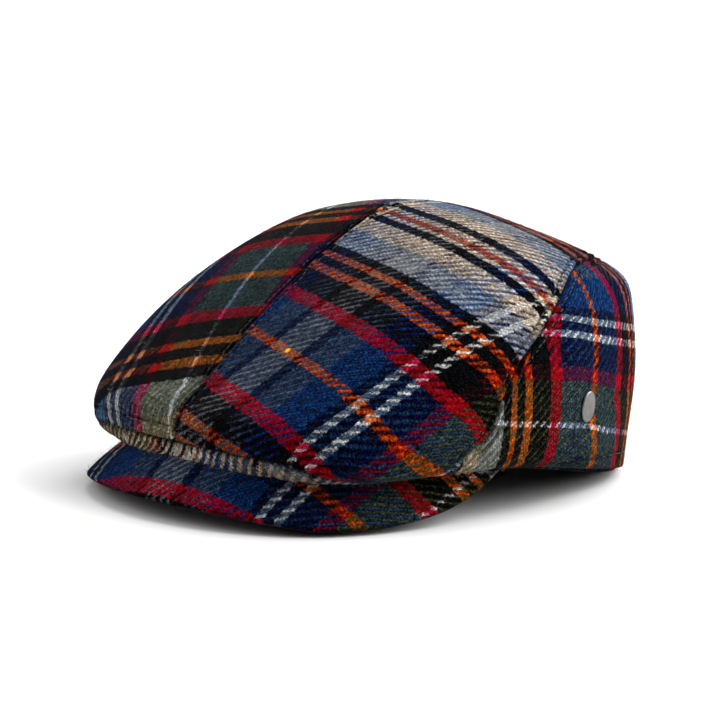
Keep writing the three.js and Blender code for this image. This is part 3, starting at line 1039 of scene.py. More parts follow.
@dataclass(frozen=True)
class BrushedMetal(CloudedFinish):
    """Clouded metal with faint brushing scratches."""

    def material(self) -> Material:
        """Makes the metal's finish.

        Returns:
            The material.
        """
        made, graph, shader, place = self.started()
        lines = graph.node("ShaderNodeMapping", {"Vector": place, "Scale": (500.0, 500.0, 9000.0)})
        grain = graph.noise(lines.outputs[0], 1.0, 3.0)
        graph.feed(shader.inputs["Roughness"], graph.math("MULTIPLY_ADD", grain, 0.2, 0.32))
        bump = graph.node("ShaderNodeBump", {"Strength": 0.25, "Distance": 0.03 * MM, "Height": grain})
        graph.feed(shader.inputs["Normal"], bump.outputs[0])
        return made


STITCH_THREAD = CloudedFinish(
    "sewing_thread", (0.004, 0.005, 0.008), (0.018, 0.02, 0.03), 900.0, 2.0, {"Roughness": 0.5}
)
SATIN_STEEL = BrushedMetal(
    "satin_steel", (0.08, 0.076, 0.076), (0.25, 0.24, 0.236), 260.0, 3.0, {"Metallic": 1.0}
)
PALE_FLOOR = CloudedFinish(
    "pale_floor", (0.6, 0.6, 0.6), (0.63, 0.63, 0.63), 3.0, 2.0, {"Roughness": 0.9}
)


# ---- meshes ----


@dataclass
class ClothMesh:
    """Points and faces of a piece before they become a Blender mesh.

    Attributes:
        points: Vertices in millimetres, in the construction's own frame.
        faces: Vertex numbers of each face.
        inside: For each face, whether it is on the inner side.
        cloth: Each vertex's place on the cloth, its distance from the edge and the painted shade of
        the seams and stitch grooves there.
        outer: For each vertex, 1 on the outer side.
    """

    points: Array
    faces: list[tuple[int, ...]]
    inside: list[bool]
    cloth: Array
    outer: Array


def two_sided(outer: Array, inner: Array, cloth: Array, under: Array) -> ClothMesh:
    """Joins an outer and an inner grid that share their border into one closed body.

    Args:
        outer: Outer points, rows by columns by three.
        inner: Inner points, the same shape and equal to outer on the border.
        cloth: The cloth attribute of the outer points.
        under: The cloth attribute of the inner points.

    Returns:
        The closed body.
    """
    rows, columns = outer.shape[:2]
    number = np.arange(rows * columns).reshape(rows, columns)
    below = number + rows * columns
    border = np.ones((rows, columns), bool)
    border[1:-1, 1:-1] = False
    below[border] = number[border]
    points = np.concatenate([outer.reshape(-1, 3), inner.reshape(-1, 3)])
    attribute = np.concatenate([cloth.reshape(-1, 4), under.reshape(-1, 4)])
    side = np.concatenate([np.ones(rows * columns), np.zeros(rows * columns)])
    same = np.arange(len(points))
    for end in (0, rows - 1):
        if np.ptp(outer[end], axis=0).max() < 1e-6:
            same[number[end]] = number[end, 0]
    faces: list[tuple[int, ...]] = []
    inside: list[bool] = []
    for grid, turned in ((number, False), (below, True)):
        a, b = same[grid[:-1, :-1]].ravel(), same[grid[:-1, 1:]].ravel()
        c, d = same[grid[1:, 1:]].ravel(), same[grid[1:, :-1]].ravel()
        corners = np.stack([a, d, c, b] if turned else [a, b, c, d], axis=1).tolist()
        for face in corners:
            kept = [v for k, v in enumerate(face) if v != face[k - 1]]
            if len(kept) > 2:
                faces.append(tuple(kept))
                inside.append(turned)
    used = np.unique(np.concatenate([np.array(f) for f in faces]))
    renumber = np.full(len(points), -1)
    renumber[used] = np.arange(len(used))
    faces = [tuple(int(renumber[v]) for v in face) for face in faces]
    return ClothMesh(points[used], faces, inside, attribute[used], side[used])


def new_object(name: str, mesh: Mesh) -> Object:
    """Adds an object to the scene.

    Args:
        name: Its name.
        mesh: Its mesh.

    Returns:
        The object, at the origin.
    """
    made = bpy.data.objects.new(name, mesh)
    bpy.context.scene.collection.objects.link(made)
    return made


def cloth_object(name: str, body: ClothMesh, materials: Sequence[Material]) -> Object:
    """Makes a Blender object of a cloth body.

    Args:
        name: The piece's name.
        body: Its points, faces and attributes.
        materials: The finish outside, and the finish inside where it differs.

    Returns:
        The object, at the origin, with its place in its mesh.
    """
    mesh = bpy.data.meshes.new(name)
    mesh.from_pydata(((body.points + SHIFT) * MM).tolist(), [], body.faces)
    attribute = mesh.attributes.new("cloth", "FLOAT_VECTOR", "POINT")
    attribute.data.foreach_set("vector", body.cloth[:, :3].astype(np.float32).ravel())
    # the fourth number of cloth is the painted shade of the seams and stitch grooves
    for kind, values in (("outer", body.outer), ("seam_shade", body.cloth[:, 3])):
        mesh.attributes.new(kind, "FLOAT", "POINT").data.foreach_set("value", values.astype(np.float32))
    for material in materials:
        mesh.materials.append(material)
    if len(materials) > 1:
        mesh.polygons.foreach_set("material_index", np.array(body.inside, np.int32))
    mesh.polygons.foreach_set("use_smooth", np.ones(len(body.faces), bool))
    mesh.update()
    return new_object(name, mesh)


def place_in_frame(piece: Object, slot: str, *nodes: str) -> Object:
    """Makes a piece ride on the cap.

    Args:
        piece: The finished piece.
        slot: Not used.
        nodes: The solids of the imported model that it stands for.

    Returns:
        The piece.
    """
    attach(piece, "root")
    if nodes:
        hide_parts(*nodes)
    LOG.info("%s: %d faces", piece.name, len(piece.data.polygons))
    return piece


# ---- seams and their relief ----


@dataclass(frozen=True)
class Seam:
    """A sewn edge: the line, how the cloth swells beside it and its row of stitches.

    Attributes:
        line: The edge's points in order.
        stitch_at: Distance of the stitches from the edge, or 0 for none.
        swell: How high the cloth stands between the edge and the stitches.
        pull: How deep the stitches pull the cloth in.
        pucker: Height of the small waves along the seam.
    """

    line: Array
    stitch_at: float = 2.8
    swell: float = 0.35
    pull: float = 0.5
    pucker: float = 0.14

    def relief(self, points: Array, pitch: float) -> tuple[Array, Array, Array]:
        """Height of the cloth beside the seam.

        Args:
            points: The cloth's points.
            pitch: Length of one stitch.

        Returns:
            The height, the distance from the edge and the painted shade of the seam line and its
            stitch groove, for each point.
        """
        away, along = nearest_on_line(points, self.line)
        fade = np.exp(-((away / 9.0) ** 2))
        wave = np.sin(along / 2.9 + 1.7 * np.sin(along / 23.0)) + 0.6 * np.sin(along / 5.3 + 2.0)
        height = self.pucker * wave * fade
        # painted shade along the seam line
        seam_shade = np.exp(-((away / 0.9) ** 2)) * 0.8
        if self.stitch_at:
            swell = np.exp(-(((away - 0.5 * self.stitch_at) / (0.34 * self.stitch_at)) ** 2))
            groove = np.exp(-(((away - self.stitch_at) / 0.55) ** 2))
            needle = 1.0 + 0.35 * np.cos(2.0 * math.pi * along / pitch)
            beyond = np.exp(-(((away - 1.7 * self.stitch_at) / (0.5 * self.stitch_at)) ** 2))
            height = height + self.swell * (swell + 0.4 * beyond) - self.pull * groove * needle
            # painted shade in the stitch groove
            seam_shade = np.maximum(seam_shade, groove)
        return height, away, seam_shade


def loose_waves(points: Array, height: float) -> Array:
    """Slow unevenness of handled cloth.

    Args:
        points: The cloth's points, in millimetres.
        height: The waves' height.

    Returns:
        A height for each point.
    """
    x, y, z = points[..., 0], points[..., 1], points[..., 2]
    wave = np.sin(x / 17.0 + y / 31.0 + 0.4) * np.sin(y / 14.0 - z / 23.0 + 1.1)
    wave = wave + 0.6 * np.sin(x / 9.3 - z / 12.0 + 2.3) * np.sin(y / 11.5 + x / 37.0)
    return height * wave


# Distances from an edge at which points lie, close at the fold and at the rows of stitches.
ROUNDING = (0.0, 0.07, 0.28, 0.62, 1.2)
EDGE_STEPS = ROUNDING + (1.7, 2.15, 2.5, 2.8, 3.1, 3.5, 4.0, 4.7, 5.4, 5.9, 6.3, 6.9, 7.8, 9.0)


def share_steps(length: float, spacing: float, fine: Sequence[float] = EDGE_STEPS) -> Array:
    """Returns shares of a length from 0 to 1, close together at its start."""
    return spaced(length, fine, spacing) / length


def both_ways(half: Array, whole: float = 0.0) -> Array:
    """Returns a half list of places and its mirror image about the half's last place."""
    return np.concatenate([half, whole - half[::-1][1:]])


def close_border(edge: Array) -> None:
    """Sets the border of a grid of distances to 0, where the two skins of a wall meet."""
    edge[0], edge[-1], edge[:, 0], edge[:, -1] = 0.0, 0.0, 0.0, 0.0


def eased(place: Array, table: Table) -> Array:
    """Stretches or draws in the check.

    Args:
        place: Places on the pattern.
        table: Some places on the pattern, and where each falls on the cloth.

    Returns:
        Places on the cloth.
    """
    before, after = zip(*table)
    return np.interp(place, before, after)


@dataclass
class ClothWall:
    """Base of the cloth pieces: a wall with rounded edges over a form.

    Attributes:
        thick: The wall's thickness.
        spacing: Distance between points away from the edges.
        seam_room: Share of the crown that a panel keeps from a seam with its neighbour.
    """

    thick: float = 2.4
    spacing: float = 1.6
    seam_room: float = 0.0008

    def normals(self, points: Array) -> Array:
        """Returns the outward directions of a grid whose rows run round and columns go up."""
        along, up = np.gradient(points, axis=1), np.gradient(points, axis=0)
        return unit(np.cross(along, up))

    def skins(
        self, points: Array, normals: Array, edge: Array, height: Array
    ) -> tuple[Array, Array]:
        """Outer and inner skins of the wall, meeting in a round edge.

        Args:
            points: The form's points.
            normals: Outward directions there.
            edge: Distance of each point from the nearest edge.
            height: Relief of the outer skin.

        Returns:
            The outer and the inner skin.
        """
        radius = self.thick / 2.0
        inset = np.minimum(edge, radius)
        half = radius * np.cbrt(1.0 - (1.0 - inset / radius) ** 3)
        fade = smooth_step(edge, 0.0, radius)
        outer = points + normals * (half - radius + height * fade)[..., None]
        inner = points - normals * (half + radius)[..., None]
        return outer, inner


# ---- the pieces of the crown ----


class Side(Enum):
    """A side of the wearer; the value is the sign of its X."""

    LEFT = 1
    RIGHT = -1


@dataclass
class CrownHalf(ClothWall):
    """One half of the crown's top, from the centre seam to its lower seams.

    Attributes:
        side: Which half this is.
        gap: Space between the two halves.
        lift: How far the cloth is drawn up over the side, at its lower edge.
        rise: Length of the cloth from its lower seams to the top.
        columns: Columns of the coarse grid that is laid flat.
        rows: Its rows.
        left_check: Start of the left half's check across the warp, and how it grows across,
            towards the back and towards both.
        left_table: Where the left half's check is eased along its length.
        right_table: Where the right half's is.
        stitch_lines: Its rows of topstitches, once it is built.
    """

    side: Side = Side.LEFT
    gap: float = 0.002
    lift: float = 12.0
    rise: float = 165.0
    columns: int = 61
    rows: int = 16
    left_check: tuple[float, float, float, float] = (-9.45, 1.0875, -0.135, 0.00125)
    left_table: Table = ((-160.0, -148.4), (-59.0, -59.0), (200.0, 200.0))
    right_table: Table = ((-114.0, -134.0), (-103.0, -124.4), (-66.0, -100.7), (200.0, 165.3))
    stitch_lines: list[Array] = field(default_factory=list)

    def shares(self, angle: Array, way: Array) -> Array:
        """Finds shares of the way up the crown.

        Args:
            angle: Angles of the columns.
            way: Ways from the lower seam (0) to the top (1), one for each row.

        Returns:
            Shares, rows by columns.
        """
        start = FORM.seam_share(angle)
        start = start + self.seam_room * (start > 0)
        return start[None] + (1.0 - start[None]) * way[:, None]

    def flat(self, angle: Array, share: Array) -> Array:
        """Places on the flat pattern.

        Args:
            angle: Angles of the columns.
            share: Shares, rows by columns.

        Returns:
            Flat places, rows by columns by two, with x across and y towards the back.
        """
        coarse = np.linspace(0.0, 180.0, self.columns)
        way = np.linspace(0.0, 1.0, self.rows + 1)
        rough = FORM.seam_share(coarse)
        grid = rough[None] + (1.0 - rough[None]) * way[:, None]
        grid[-1] = 0.995  # just short of the top, where all columns meet
        points = FORM.crown_point(coarse, grid)
        pattern = FlatPattern(points, points[..., :2].copy(), 80).flat
        column = angle / (180.0 / (self.columns - 1))
        seam = np.concatenate([[2 * rough[0] - rough[1]], rough, [2 * rough[-1] - rough[-2]]])
        start, weights = cubic_taps(column, len(coarse))
        seam_there = sum(w * seam[start + k] for k, w in enumerate(weights))
        row = (share - seam_there) / (1.0 - seam_there) * self.rows
        return smooth_read(pattern, np.clip(row, 0, self.rows), np.broadcast_to(column, share.shape))

    def lay_cloth(self, flat: Array, away: Array) -> tuple[Array, Array]:
        """Lays the pattern on the checked cloth.

        Args:
            flat: Places on the flat pattern.
            away: Distance from the back seam.

        Returns:
            Places across the warp and across the weft.
        """
        u, v = flat[..., 0], flat[..., 1]
        if self.side is Side.LEFT:
            start, across, back, both = self.left_check
            warp = start + across * u + back * v + both * u * v
            drawn = self.lift * np.exp(-((away / 24.0) ** 2)) * smooth_step(v, -80.0, -50.0)
            return warp, eased(v, self.left_table) + 0.03 * u - drawn
        u = -u
        warp = 115.0 + 1.04 * (u + 10.6 + 0.08 * v)
        return warp, eased(v - 0.1 * u, self.right_table)

    def seams(self) -> dict[str, Seam]:
        """Finds the half's sewn edges.

        Returns:
            The seams by name.
        """
        up = np.linspace(0.0, 1.0, 150)
        ends = []
        for angle, foot in ((0.0, FORM.front_seam[0][1]), (180.0, FORM.back_seam[-1][1])):
            ends.append(FORM.crown_point(np.full(1, angle), (foot + (1.0 - foot) * up)[:, None])[:, 0])
        centre = np.concatenate([ends[0], ends[1][::-1][1:]])
        strip_end, back_start = FORM.front_seam[-1][0], FORM.back_seam[0][0]
        runs = {"strip": (0.0, strip_end), "peak": (strip_end, back_start), "back": (back_start, 180.0)}
        found = {"centre": Seam(centre)}
        offsets = {"strip": (6.0, 0.15, 0.4), "peak": (0.0, 0.0, 0.0), "back": (3.0, 0.35, 0.5)}
        if self.side is Side.RIGHT:
            offsets["back"] = (3.0, 0.15, 0.2)
        for name, (start, stop) in runs.items():
            angle = np.linspace(start, stop, 300)
            line = FORM.crown_point(angle, FORM.seam_share(angle)[None])[0]
            at, swell, pull = offsets[name]
            found[name] = Seam(line, at, swell, pull)
        return found

    def build(self, outside: Material, inside: Material) -> Object:
        """Makes the half.

        Args:
            outside: The tweed.
            inside: The lining.

        Returns:
            The piece, riding in the frame.
        """
        across = spaced(90.0 * math.pi / 2.0, EDGE_STEPS, self.spacing)
        angle = both_ways(across / across[-1] * 90.0, 180.0)
        way = share_steps(self.rise, self.spacing)
        share = self.shares(angle, way)
        points = FORM.crown_point(angle, share)
        normals = self.normals(points)
        normals[:, [0, -1], 0] = 0.0
        normals = unit(normals)
        normals[-1] = (0.0, 0.0, 1.0)
        height = loose_waves(points * [self.side.value, 1.0, 1.0] + [40.0, 0.0, 0.0], 0.3)
        distances = {}
        # painted shade of the seams and their stitch grooves, the darkest of all the seams
        seam_shade = np.zeros_like(height)
        for name, seam in self.seams().items():
            rise, distances[name], seam_shade_here = seam.relief(points, STITCH_PITCH)
            height, seam_shade = height + rise, np.maximum(seam_shade, seam_shade_here)
        edge = np.min(list(distances.values()), axis=0)
        close_border(edge)
        outer, inner = self.skins(points, normals, edge, height)
        flat = self.flat(angle, share)
        warp, weft = self.lay_cloth(flat, distances["back"])
        cloth = np.stack([warp, weft, edge, seam_shade], axis=-1)
        mirror = np.array([float(self.side.value), 1.0, 1.0])
        shift = np.array([self.gap / 2.0 * self.side.value, 0.0, 0.0])
        body = two_sided(outer * mirror + shift, inner * mirror + shift, cloth, cloth)
        if self.side is Side.RIGHT:
            body.faces = [tuple(reversed(face)) for face in body.faces]
        name = f"crown_{self.side.name.lower()}"
        piece = cloth_object(f"{name}_cloth", body, [outside, inside])
        self.stitch_lines = self.sewing(piece)
        return place_in_frame(piece, "crown_tweed", name)

    def sewing(self, piece: Object) -> list[Array]:
        """Finds the lines that the topstitches follow.

        Args:
            piece: The finished half.

        Returns:
            The lines, beside the seams, as offset_line() gives them.
        """
        mirror = np.array([float(self.side.value), 1.0, 1.0])
        lines = []
        for name, seam in self.seams().items():
            if seam.stitch_at:
                centre = np.array([30.0, 0.0, 60.0]) if name == "centre" else np.array([0.0, 0.0, 140.0])
                lines.append(offset_line(piece, seam.line * mirror, seam.stitch_at, centre * mirror))
        return lines


def offset_line(
    piece: Object, line: Array, offset: float, towards: Array
) -> Array:
    """Finds a line on a piece's surface beside one of its edges.

    Args:
        piece: The finished piece.
        line: The edge, in millimetres in the construction's frame.
        offset: Distance from the edge.
        towards: A point on the side of the edge where the line lies.

    Returns:
        Rows of six numbers: a point on the surface and the outward direction there.
    """
    tree = BVHTree.FromObject(piece, bpy.context.evaluated_depsgraph_get())
    length = line_length(line)
    even = np.linspace(0.0, length[-1], max(int(length[-1] / 1.5), 4))
    points = np.stack([np.interp(even, length, line[:, k]) for k in range(3)], axis=1)
    tangents = unit(np.gradient(points, axis=0))
    found = []
    for point, tangent in zip(points, tangents):
        inward = towards - point
        inward = inward - tangent * inward.dot(tangent)
        place = point
        for _ in range(4):
            near, normal, _, _ = tree.find_nearest(Vector((place + SHIFT) * MM))
            normal = np.array(normal)
            across = inward - normal * inward.dot(normal)
            across = unit(across - tangent * across.dot(tangent))
            place = point + across * offset
        near, normal, _, _ = tree.find_nearest(Vector((place + SHIFT) * MM))
        found.append([*(np.array(near) / MM - SHIFT), *normal])
    return np.array(found)


@dataclass
class BackPanel(ClothWall):
    """The panel that runs from one end of the peak round the back to the other.

    Attributes:
        hem_stitch: Height of the hem's topstitch above the hem.
        scale: How much closer the check lies than on the flat pattern.
        ends: Angles of the columns of the coarse grid that is laid flat.
        columns: How many columns it has.
        rows: How many rows.
        reach: How far round the back the check dips, from its middle.
        line_height: Height of the check's mirror line at the end of that reach.
        badge_height: Height of the badge.
        mirror: Distance round the back of the first mirror line across the check.
        swing: Rows of reach round the back, and how far the check leans below and above the
            badge's height.
        stitch_lines: Its rows of topstitches, once it is built.
    """

    hem_stitch: float = 7.0
    scale: float = 1.13
    ends: tuple[float, float] = (63.0, 297.0)
    columns: int = 79
    rows: int = 12
    reach: float = 150.0
    line_height: float = 40.0
    badge_height: float = 45.0
    mirror: float = 145.0
    table: Table = ((-40.0, -36.8), (73.8, 77.0), (87.4, 88.0), (114.0, 114.0), (200.0, 200.0))
    swing: tuple[tuple[float, float, float], ...] = (
        (0, 0.0, 0.0),
        (90, -0.3, 0.2),
        (118, -0.42, 0.3),
        (143, -0.33, 0.36),
        (152, -0.1, 0.3),
        (160, 0.03, 0.15),
        (168, 0.1, 0.12),
        (240, 0.08, 0.1),
    )
    stitch_lines: list[Array] = field(default_factory=list)

    def flat(self, angle: Array, share: Array) -> Array:
        """Lays the panel flat.

        Args:
            angle: Angles of the columns.
            share: Shares, rows by columns.

        Returns:
            Flat places, rows by columns by two, with x round the back and y upwards.
        """
        coarse = np.linspace(*self.ends, self.columns)
        seam = np.maximum(FORM.seam_share(coarse) - 0.001, 0.0)
        points = FORM.crown_point(coarse, seam[None] * np.linspace(0.0, 1.0, self.rows + 1)[:, None])
        middle = line_length(points[self.rows // 2][:, :2])
        middle = middle - middle[len(coarse) // 2]
        guess = np.stack([np.broadcast_to(middle, points.shape[:2]), points[..., 2]], axis=-1)
        pattern = FlatPattern(points, guess, 80).flat
        column = (angle - coarse[0]) / (coarse[1] - coarse[0])
        seam_there = np.interp(angle, coarse, seam)
        row = share / np.maximum(seam_there, 1e-6) * self.rows
        return smooth_read(pattern, np.clip(row, 0, self.rows), np.broadcast_to(column, share.shape))

    def lay_cloth(self, flat: Array) -> tuple[Array, Array]:
        """Lays the pattern on the cloth, turned a quarter against the crown's halves.

        Args:
            flat: Places on the flat pattern.

        Returns:
            Places across the warp and across the weft.
        """
        u, v = flat[..., 0], flat[..., 1]
        round_back = np.abs(u)
        sagging, rising = (u**2 - self.reach**2) / 750.0, 0.25 * (round_back - self.reach)
        above = v - self.line_height - np.where(round_back < self.reach, sagging, rising)
        warp = 115.0 - np.where(above > 0.0, self.scale, 0.9) * above
        lean = np.array(self.swing, float)
        low, high = (np.interp(round_back, lean[:, 0], lean[:, k]) for k in (1, 2))
        over_badge = v - self.badge_height
        upright = u + np.sign(u) * np.where(over_badge > 0.0, high, low) * over_badge
        return eased(warp, self.table), WEFT.start - self.scale * (upright + self.mirror)

    def build(self, outside: Material, inside: Material) -> Object:
        """Makes the panel and finds its rows of stitches.

        Args:
            outside: The tweed.
            inside: The lining.

        Returns:
            The piece, riding in the frame.
        """
        first = FORM.back_seam[0][0] + 0.4
        around = share_steps(200.0, self.spacing)
        angle = both_ways(first + (180.0 - first) * around, 360.0)
        way = both_ways(spaced(45.0, EDGE_STEPS, self.spacing) / 90.0, 1.0)
        seam = np.maximum(FORM.seam_share(angle) - self.seam_room, 0.0)
        share = seam[None] * way[:, None]
        points = FORM.crown_point(angle, share)
        normals = self.normals(points)
        upper = Seam(points[-1], 3.0)
        hem = Seam(points[0], self.hem_stitch, swell=0.0, pull=0.35, pucker=0.1)
        # each seam also gives the painted shade of its line and stitch groove
        high, upper_edge, seam_shade_here = upper.relief(points, STITCH_PITCH)
        low, hem_edge, hem_seam_shade = hem.relief(points, STITCH_PITCH)
        height = loose_waves(points, 0.3) + high + low
        edge = np.minimum(upper_edge, hem_edge)
        for line in (points[:, 0], points[:, -1]):
            edge = np.minimum(edge, nearest_on_line(points, line)[0])
        close_border(edge)
        outer, inner = self.skins(points, normals, edge, height)
        outer[..., 2], inner[..., 2] = np.maximum(outer[..., 2], 0.0), np.maximum(inner[..., 2], 0.0)
        warp, weft = self.lay_cloth(self.flat(angle, share))
        cloth = np.stack([warp, weft, edge, np.maximum(seam_shade_here, hem_seam_shade)], axis=-1)
        body = two_sided(outer, inner, cloth, cloth)
        piece = cloth_object("back_panel_cloth", body, [outside, inside])
        sky, ground = np.array([0.0, 0.0, 400.0]), np.array([0.0, 0.0, -300.0])
        self.stitch_lines = [
            offset_line(piece, points[-1], upper.stitch_at, ground),
            offset_line(piece, points[0], self.hem_stitch, sky),
        ]
        return place_in_frame(piece, "back_tweed", "back_panel")


@dataclass
class FrontStrip(ClothWall):
    """The narrow strip between the crown halves and the peak.

    Attributes:
        spacing: Distance between points away from the edges.
        ways: Rows of points, as ways from the lower seam to the strip's middle.
    """

    spacing: float = 1.0
    ways: tuple[float, ...] = (0.0, 0.008, 0.032, 0.07, 0.135, 0.2, 0.28, 0.36, 0.44, 0.5)

    def build(self, outside: Material, inside: Material) -> Object:
        """Makes the strip.

        Args:
            outside: The tweed.
            inside: The lining.

        Returns:
            The piece, riding in the frame.
        """
        last = FORM.front_seam[-1][0] - 1.0
        angle = both_ways(-last + last * share_steps(80.0, self.spacing))
        way = both_ways(np.array(self.ways), 1.0)
        seam = np.maximum(FORM.seam_share(angle) - self.seam_room, 0.0)
        points = FORM.crown_point(angle, seam[None] * way[:, None])
        normals = self.normals(points)
        middle = line_length(points[len(way) // 2])
        middle = middle - middle[len(angle) // 2]
        tall = np.linalg.norm(points[-1] - points[0], axis=-1)
        edges = [nearest_on_line(points, line) for line in (points[0], points[-1])]
        edge = np.minimum(edges[0][0], edges[1][0])
        close_border(edge)
        height = 0.12 * np.sin(edges[1][1] / 2.9) + loose_waves(points, 0.1)
        outer, inner = self.skins(points, normals, edge, height)
        warp = np.broadcast_to(77.0 - middle, edge.shape)
        weft = 20.8 - 0.72 * tall[None] * way[:, None]
        # painted shade along the strip's sewn edges
        cloth = np.stack([warp, weft, edge, np.exp(-((edge / 1.2) ** 2))], axis=-1)
        piece = cloth_object("front_strip_cloth", two_sided(outer, inner, cloth, cloth), [outside, inside])
        return place_in_frame(piece, "strip_tweed", "front_strip")


@dataclass
class Peak(ClothWall):
    """The peak: a board covered with tweed above and below.

    Attributes:
        thick: Its thickness with the cloth.
        side_end: Where it ends on each side, as a share of the form's peak.
        facing_shift: How far the check below is shifted against the check above.
        columns: Columns of the coarse grid that is laid flat.
        rows: Its rows.
    """

    thick: float = 3.2
    side_end: float = 0.98
    facing_shift: float = 26.0
    columns: int = 41
    rows: int = 17

    def skin(self, side: Array, out: Array) -> Array:
        """Finds points of the peak's upper skin.

        Args:
            side: Places round the peak, one for each column.
            out: Places from the hem to the outer edge, one for each row.

        Returns:
            Points, rows by columns by three.
        """
        grid_side, grid_out = np.meshgrid(side, out)
        point = FORM.peak_point(grid_side, grid_out)
        point[..., 2] += self.thick * smooth_step(grid_out, 0.4, 1.0)
        return point

    def flat(self, side: Array, out: Array) -> Array:
        """Lays the peak flat.

        Args:
            side: Places round the peak, one for each column.
            out: Places from the hem to the outer edge, one for each row.

        Returns:
            Flat places, rows by columns by two, with x across and y towards the back.
        """
        across = np.linspace(-self.side_end, self.side_end, self.columns)
        coarse = self.skin(across, np.linspace(0.0, 1.0, self.rows))
        pattern = FlatPattern(coarse, coarse[..., :2] * [-1.0, 1.0], 60).flat * [-1.0, 1.0]
        column = (side / self.side_end + 1.0) / 2.0 * (self.columns - 1)
        grid_column, grid_row = np.meshgrid(column, out * (self.rows - 1))
        return smooth_read(pattern, grid_row, grid_column)

    def build(self, top: Material) -> Object:
        """Makes the peak.

        Args:
            top: The tweed.

        Returns:
            The piece, riding in the frame.
        """
        side = both_ways(-self.side_end + self.side_end * share_steps(150.0, self.spacing))
        out = 1.0 - share_steps(32.0, self.spacing)[::-1]
        out = np.concatenate([[0.0], out[1:]])
        points = self.skin(side, out)
        normals = -self.normals(points)
        edges = [points[-1], points[:, 0], points[:, -1], points[0]]
        found = [nearest_on_line(points, line) for line in edges]
        edge = np.min([away for away, _ in found], axis=0)
        close_border(edge)
        rim, along = found[0]
        ripple = np.sin(along / 4.0) * np.exp(-((rim / 8.0) ** 2))
        height = loose_waves(points, 0.18) + 0.1 * ripple
        # painted shade along the sewn outer edge
        seam_shade = 0.5 * np.exp(-((rim / 1.0) ** 2))
        outer, inner = self.skins(points, normals, edge, height)
        flat = self.flat(side, out)
        u, v = flat[..., 0], flat[..., 1]
        warp = u + 0.1 * (v + 107.0) - 4.5
        weft = WEFT.start + 0.9 * (v + 92.0 - 0.07 * (u - 80.0))
        cloth = np.stack([warp, weft, edge, seam_shade], axis=-1)
        under = np.stack([warp + 9.0, weft - self.facing_shift, edge, seam_shade], axis=-1)
        body = two_sided(outer[::-1], inner[::-1], cloth[::-1], under[::-1])
        piece = cloth_object("peak_cloth", body, [top])
        return place_in_frame(piece, "peak_tweed", "peak")


@dataclass
class EarFlap(ClothWall):
    """The folded earflap: a doubled band inside the hem, its fold a little below it.

    Attributes:
        thick: Its thickness, doubled.
        spacing: Distance between points away from the edges.
        start: Angle where the flap begins, from the front.
        inset: Distance inside the hem.
        drop: How far the fold hangs below the hem.
        neck_height: Height at the neck.
        ear_height: Height over the ears.
        taper: Share of its length over which each end grows to the full height.
        end_share: Height of its ends, as a share of the full height.
    """

    thick: float = 2.6
    spacing: float = 2.4
    start: float = 84.0
    inset: float = 3.0
    drop: float = 1.3
    neck_height: float = 44.0
    ear_height: float = 62.0
    taper: float = 4.0 / 30.0
    end_share: float = 0.35

    def build(self, outside: Material) -> Object:
        """Makes the flap.

        Args:
            outside: The tweed.

        Returns:
            The piece, riding in the frame.
        """
        turn = share_steps(180.0, self.spacing)
        angle = both_ways(self.start + (180.0 - self.start) * turn, 360.0)
        way = share_steps(50.0, self.spacing, EDGE_STEPS[:10])
        rim = FORM.rim_point(angle)
        inward = unit(np.stack([-rim[:, 0], FORM.rim.mid - rim[:, 1], np.zeros(len(rim))], axis=1))
        ear = np.sin(np.radians(angle)) ** 2
        place = (angle - self.start) / (360.0 - 2.0 * self.start)
        end = np.minimum(1.0, (0.5 - np.abs(place - 0.5)) / self.taper + self.end_share)
        tall = (self.neck_height + (self.ear_height - self.neck_height) * ear) * end
        foot = np.maximum(rim[:, 2] - self.drop, 0.0)
        base = rim + inward * self.inset
        points = np.repeat(base[None], len(way), axis=0)
        points[..., 2] = foot + (tall - foot * 0.5) * way[:, None]
        normals = np.repeat(-inward[None], len(way), axis=0)
        above_fold = points[..., 2] - foot
        edge = np.minimum(above_fold, (foot + tall - foot * 0.5) - points[..., 2])
        edge = np.minimum(edge, nearest_on_line(points, points[:, 0])[0])
        edge = np.minimum(edge, nearest_on_line(points, points[:, -1])[0])
        close_border(edge)
        around = line_length(base[:, :2])
        outer, inner = self.skins(points, normals, edge, np.zeros_like(edge))
        across = np.broadcast_to(around, edge.shape)
        cloth = np.stack([across, points[..., 2] - 34.0, edge, np.zeros_like(edge)], axis=-1)
        piece = cloth_object("ear_flap_cloth", two_sided(outer, inner, cloth, cloth), [outside])
        return place_in_frame(piece, "flap_cloth", "ear_flap")


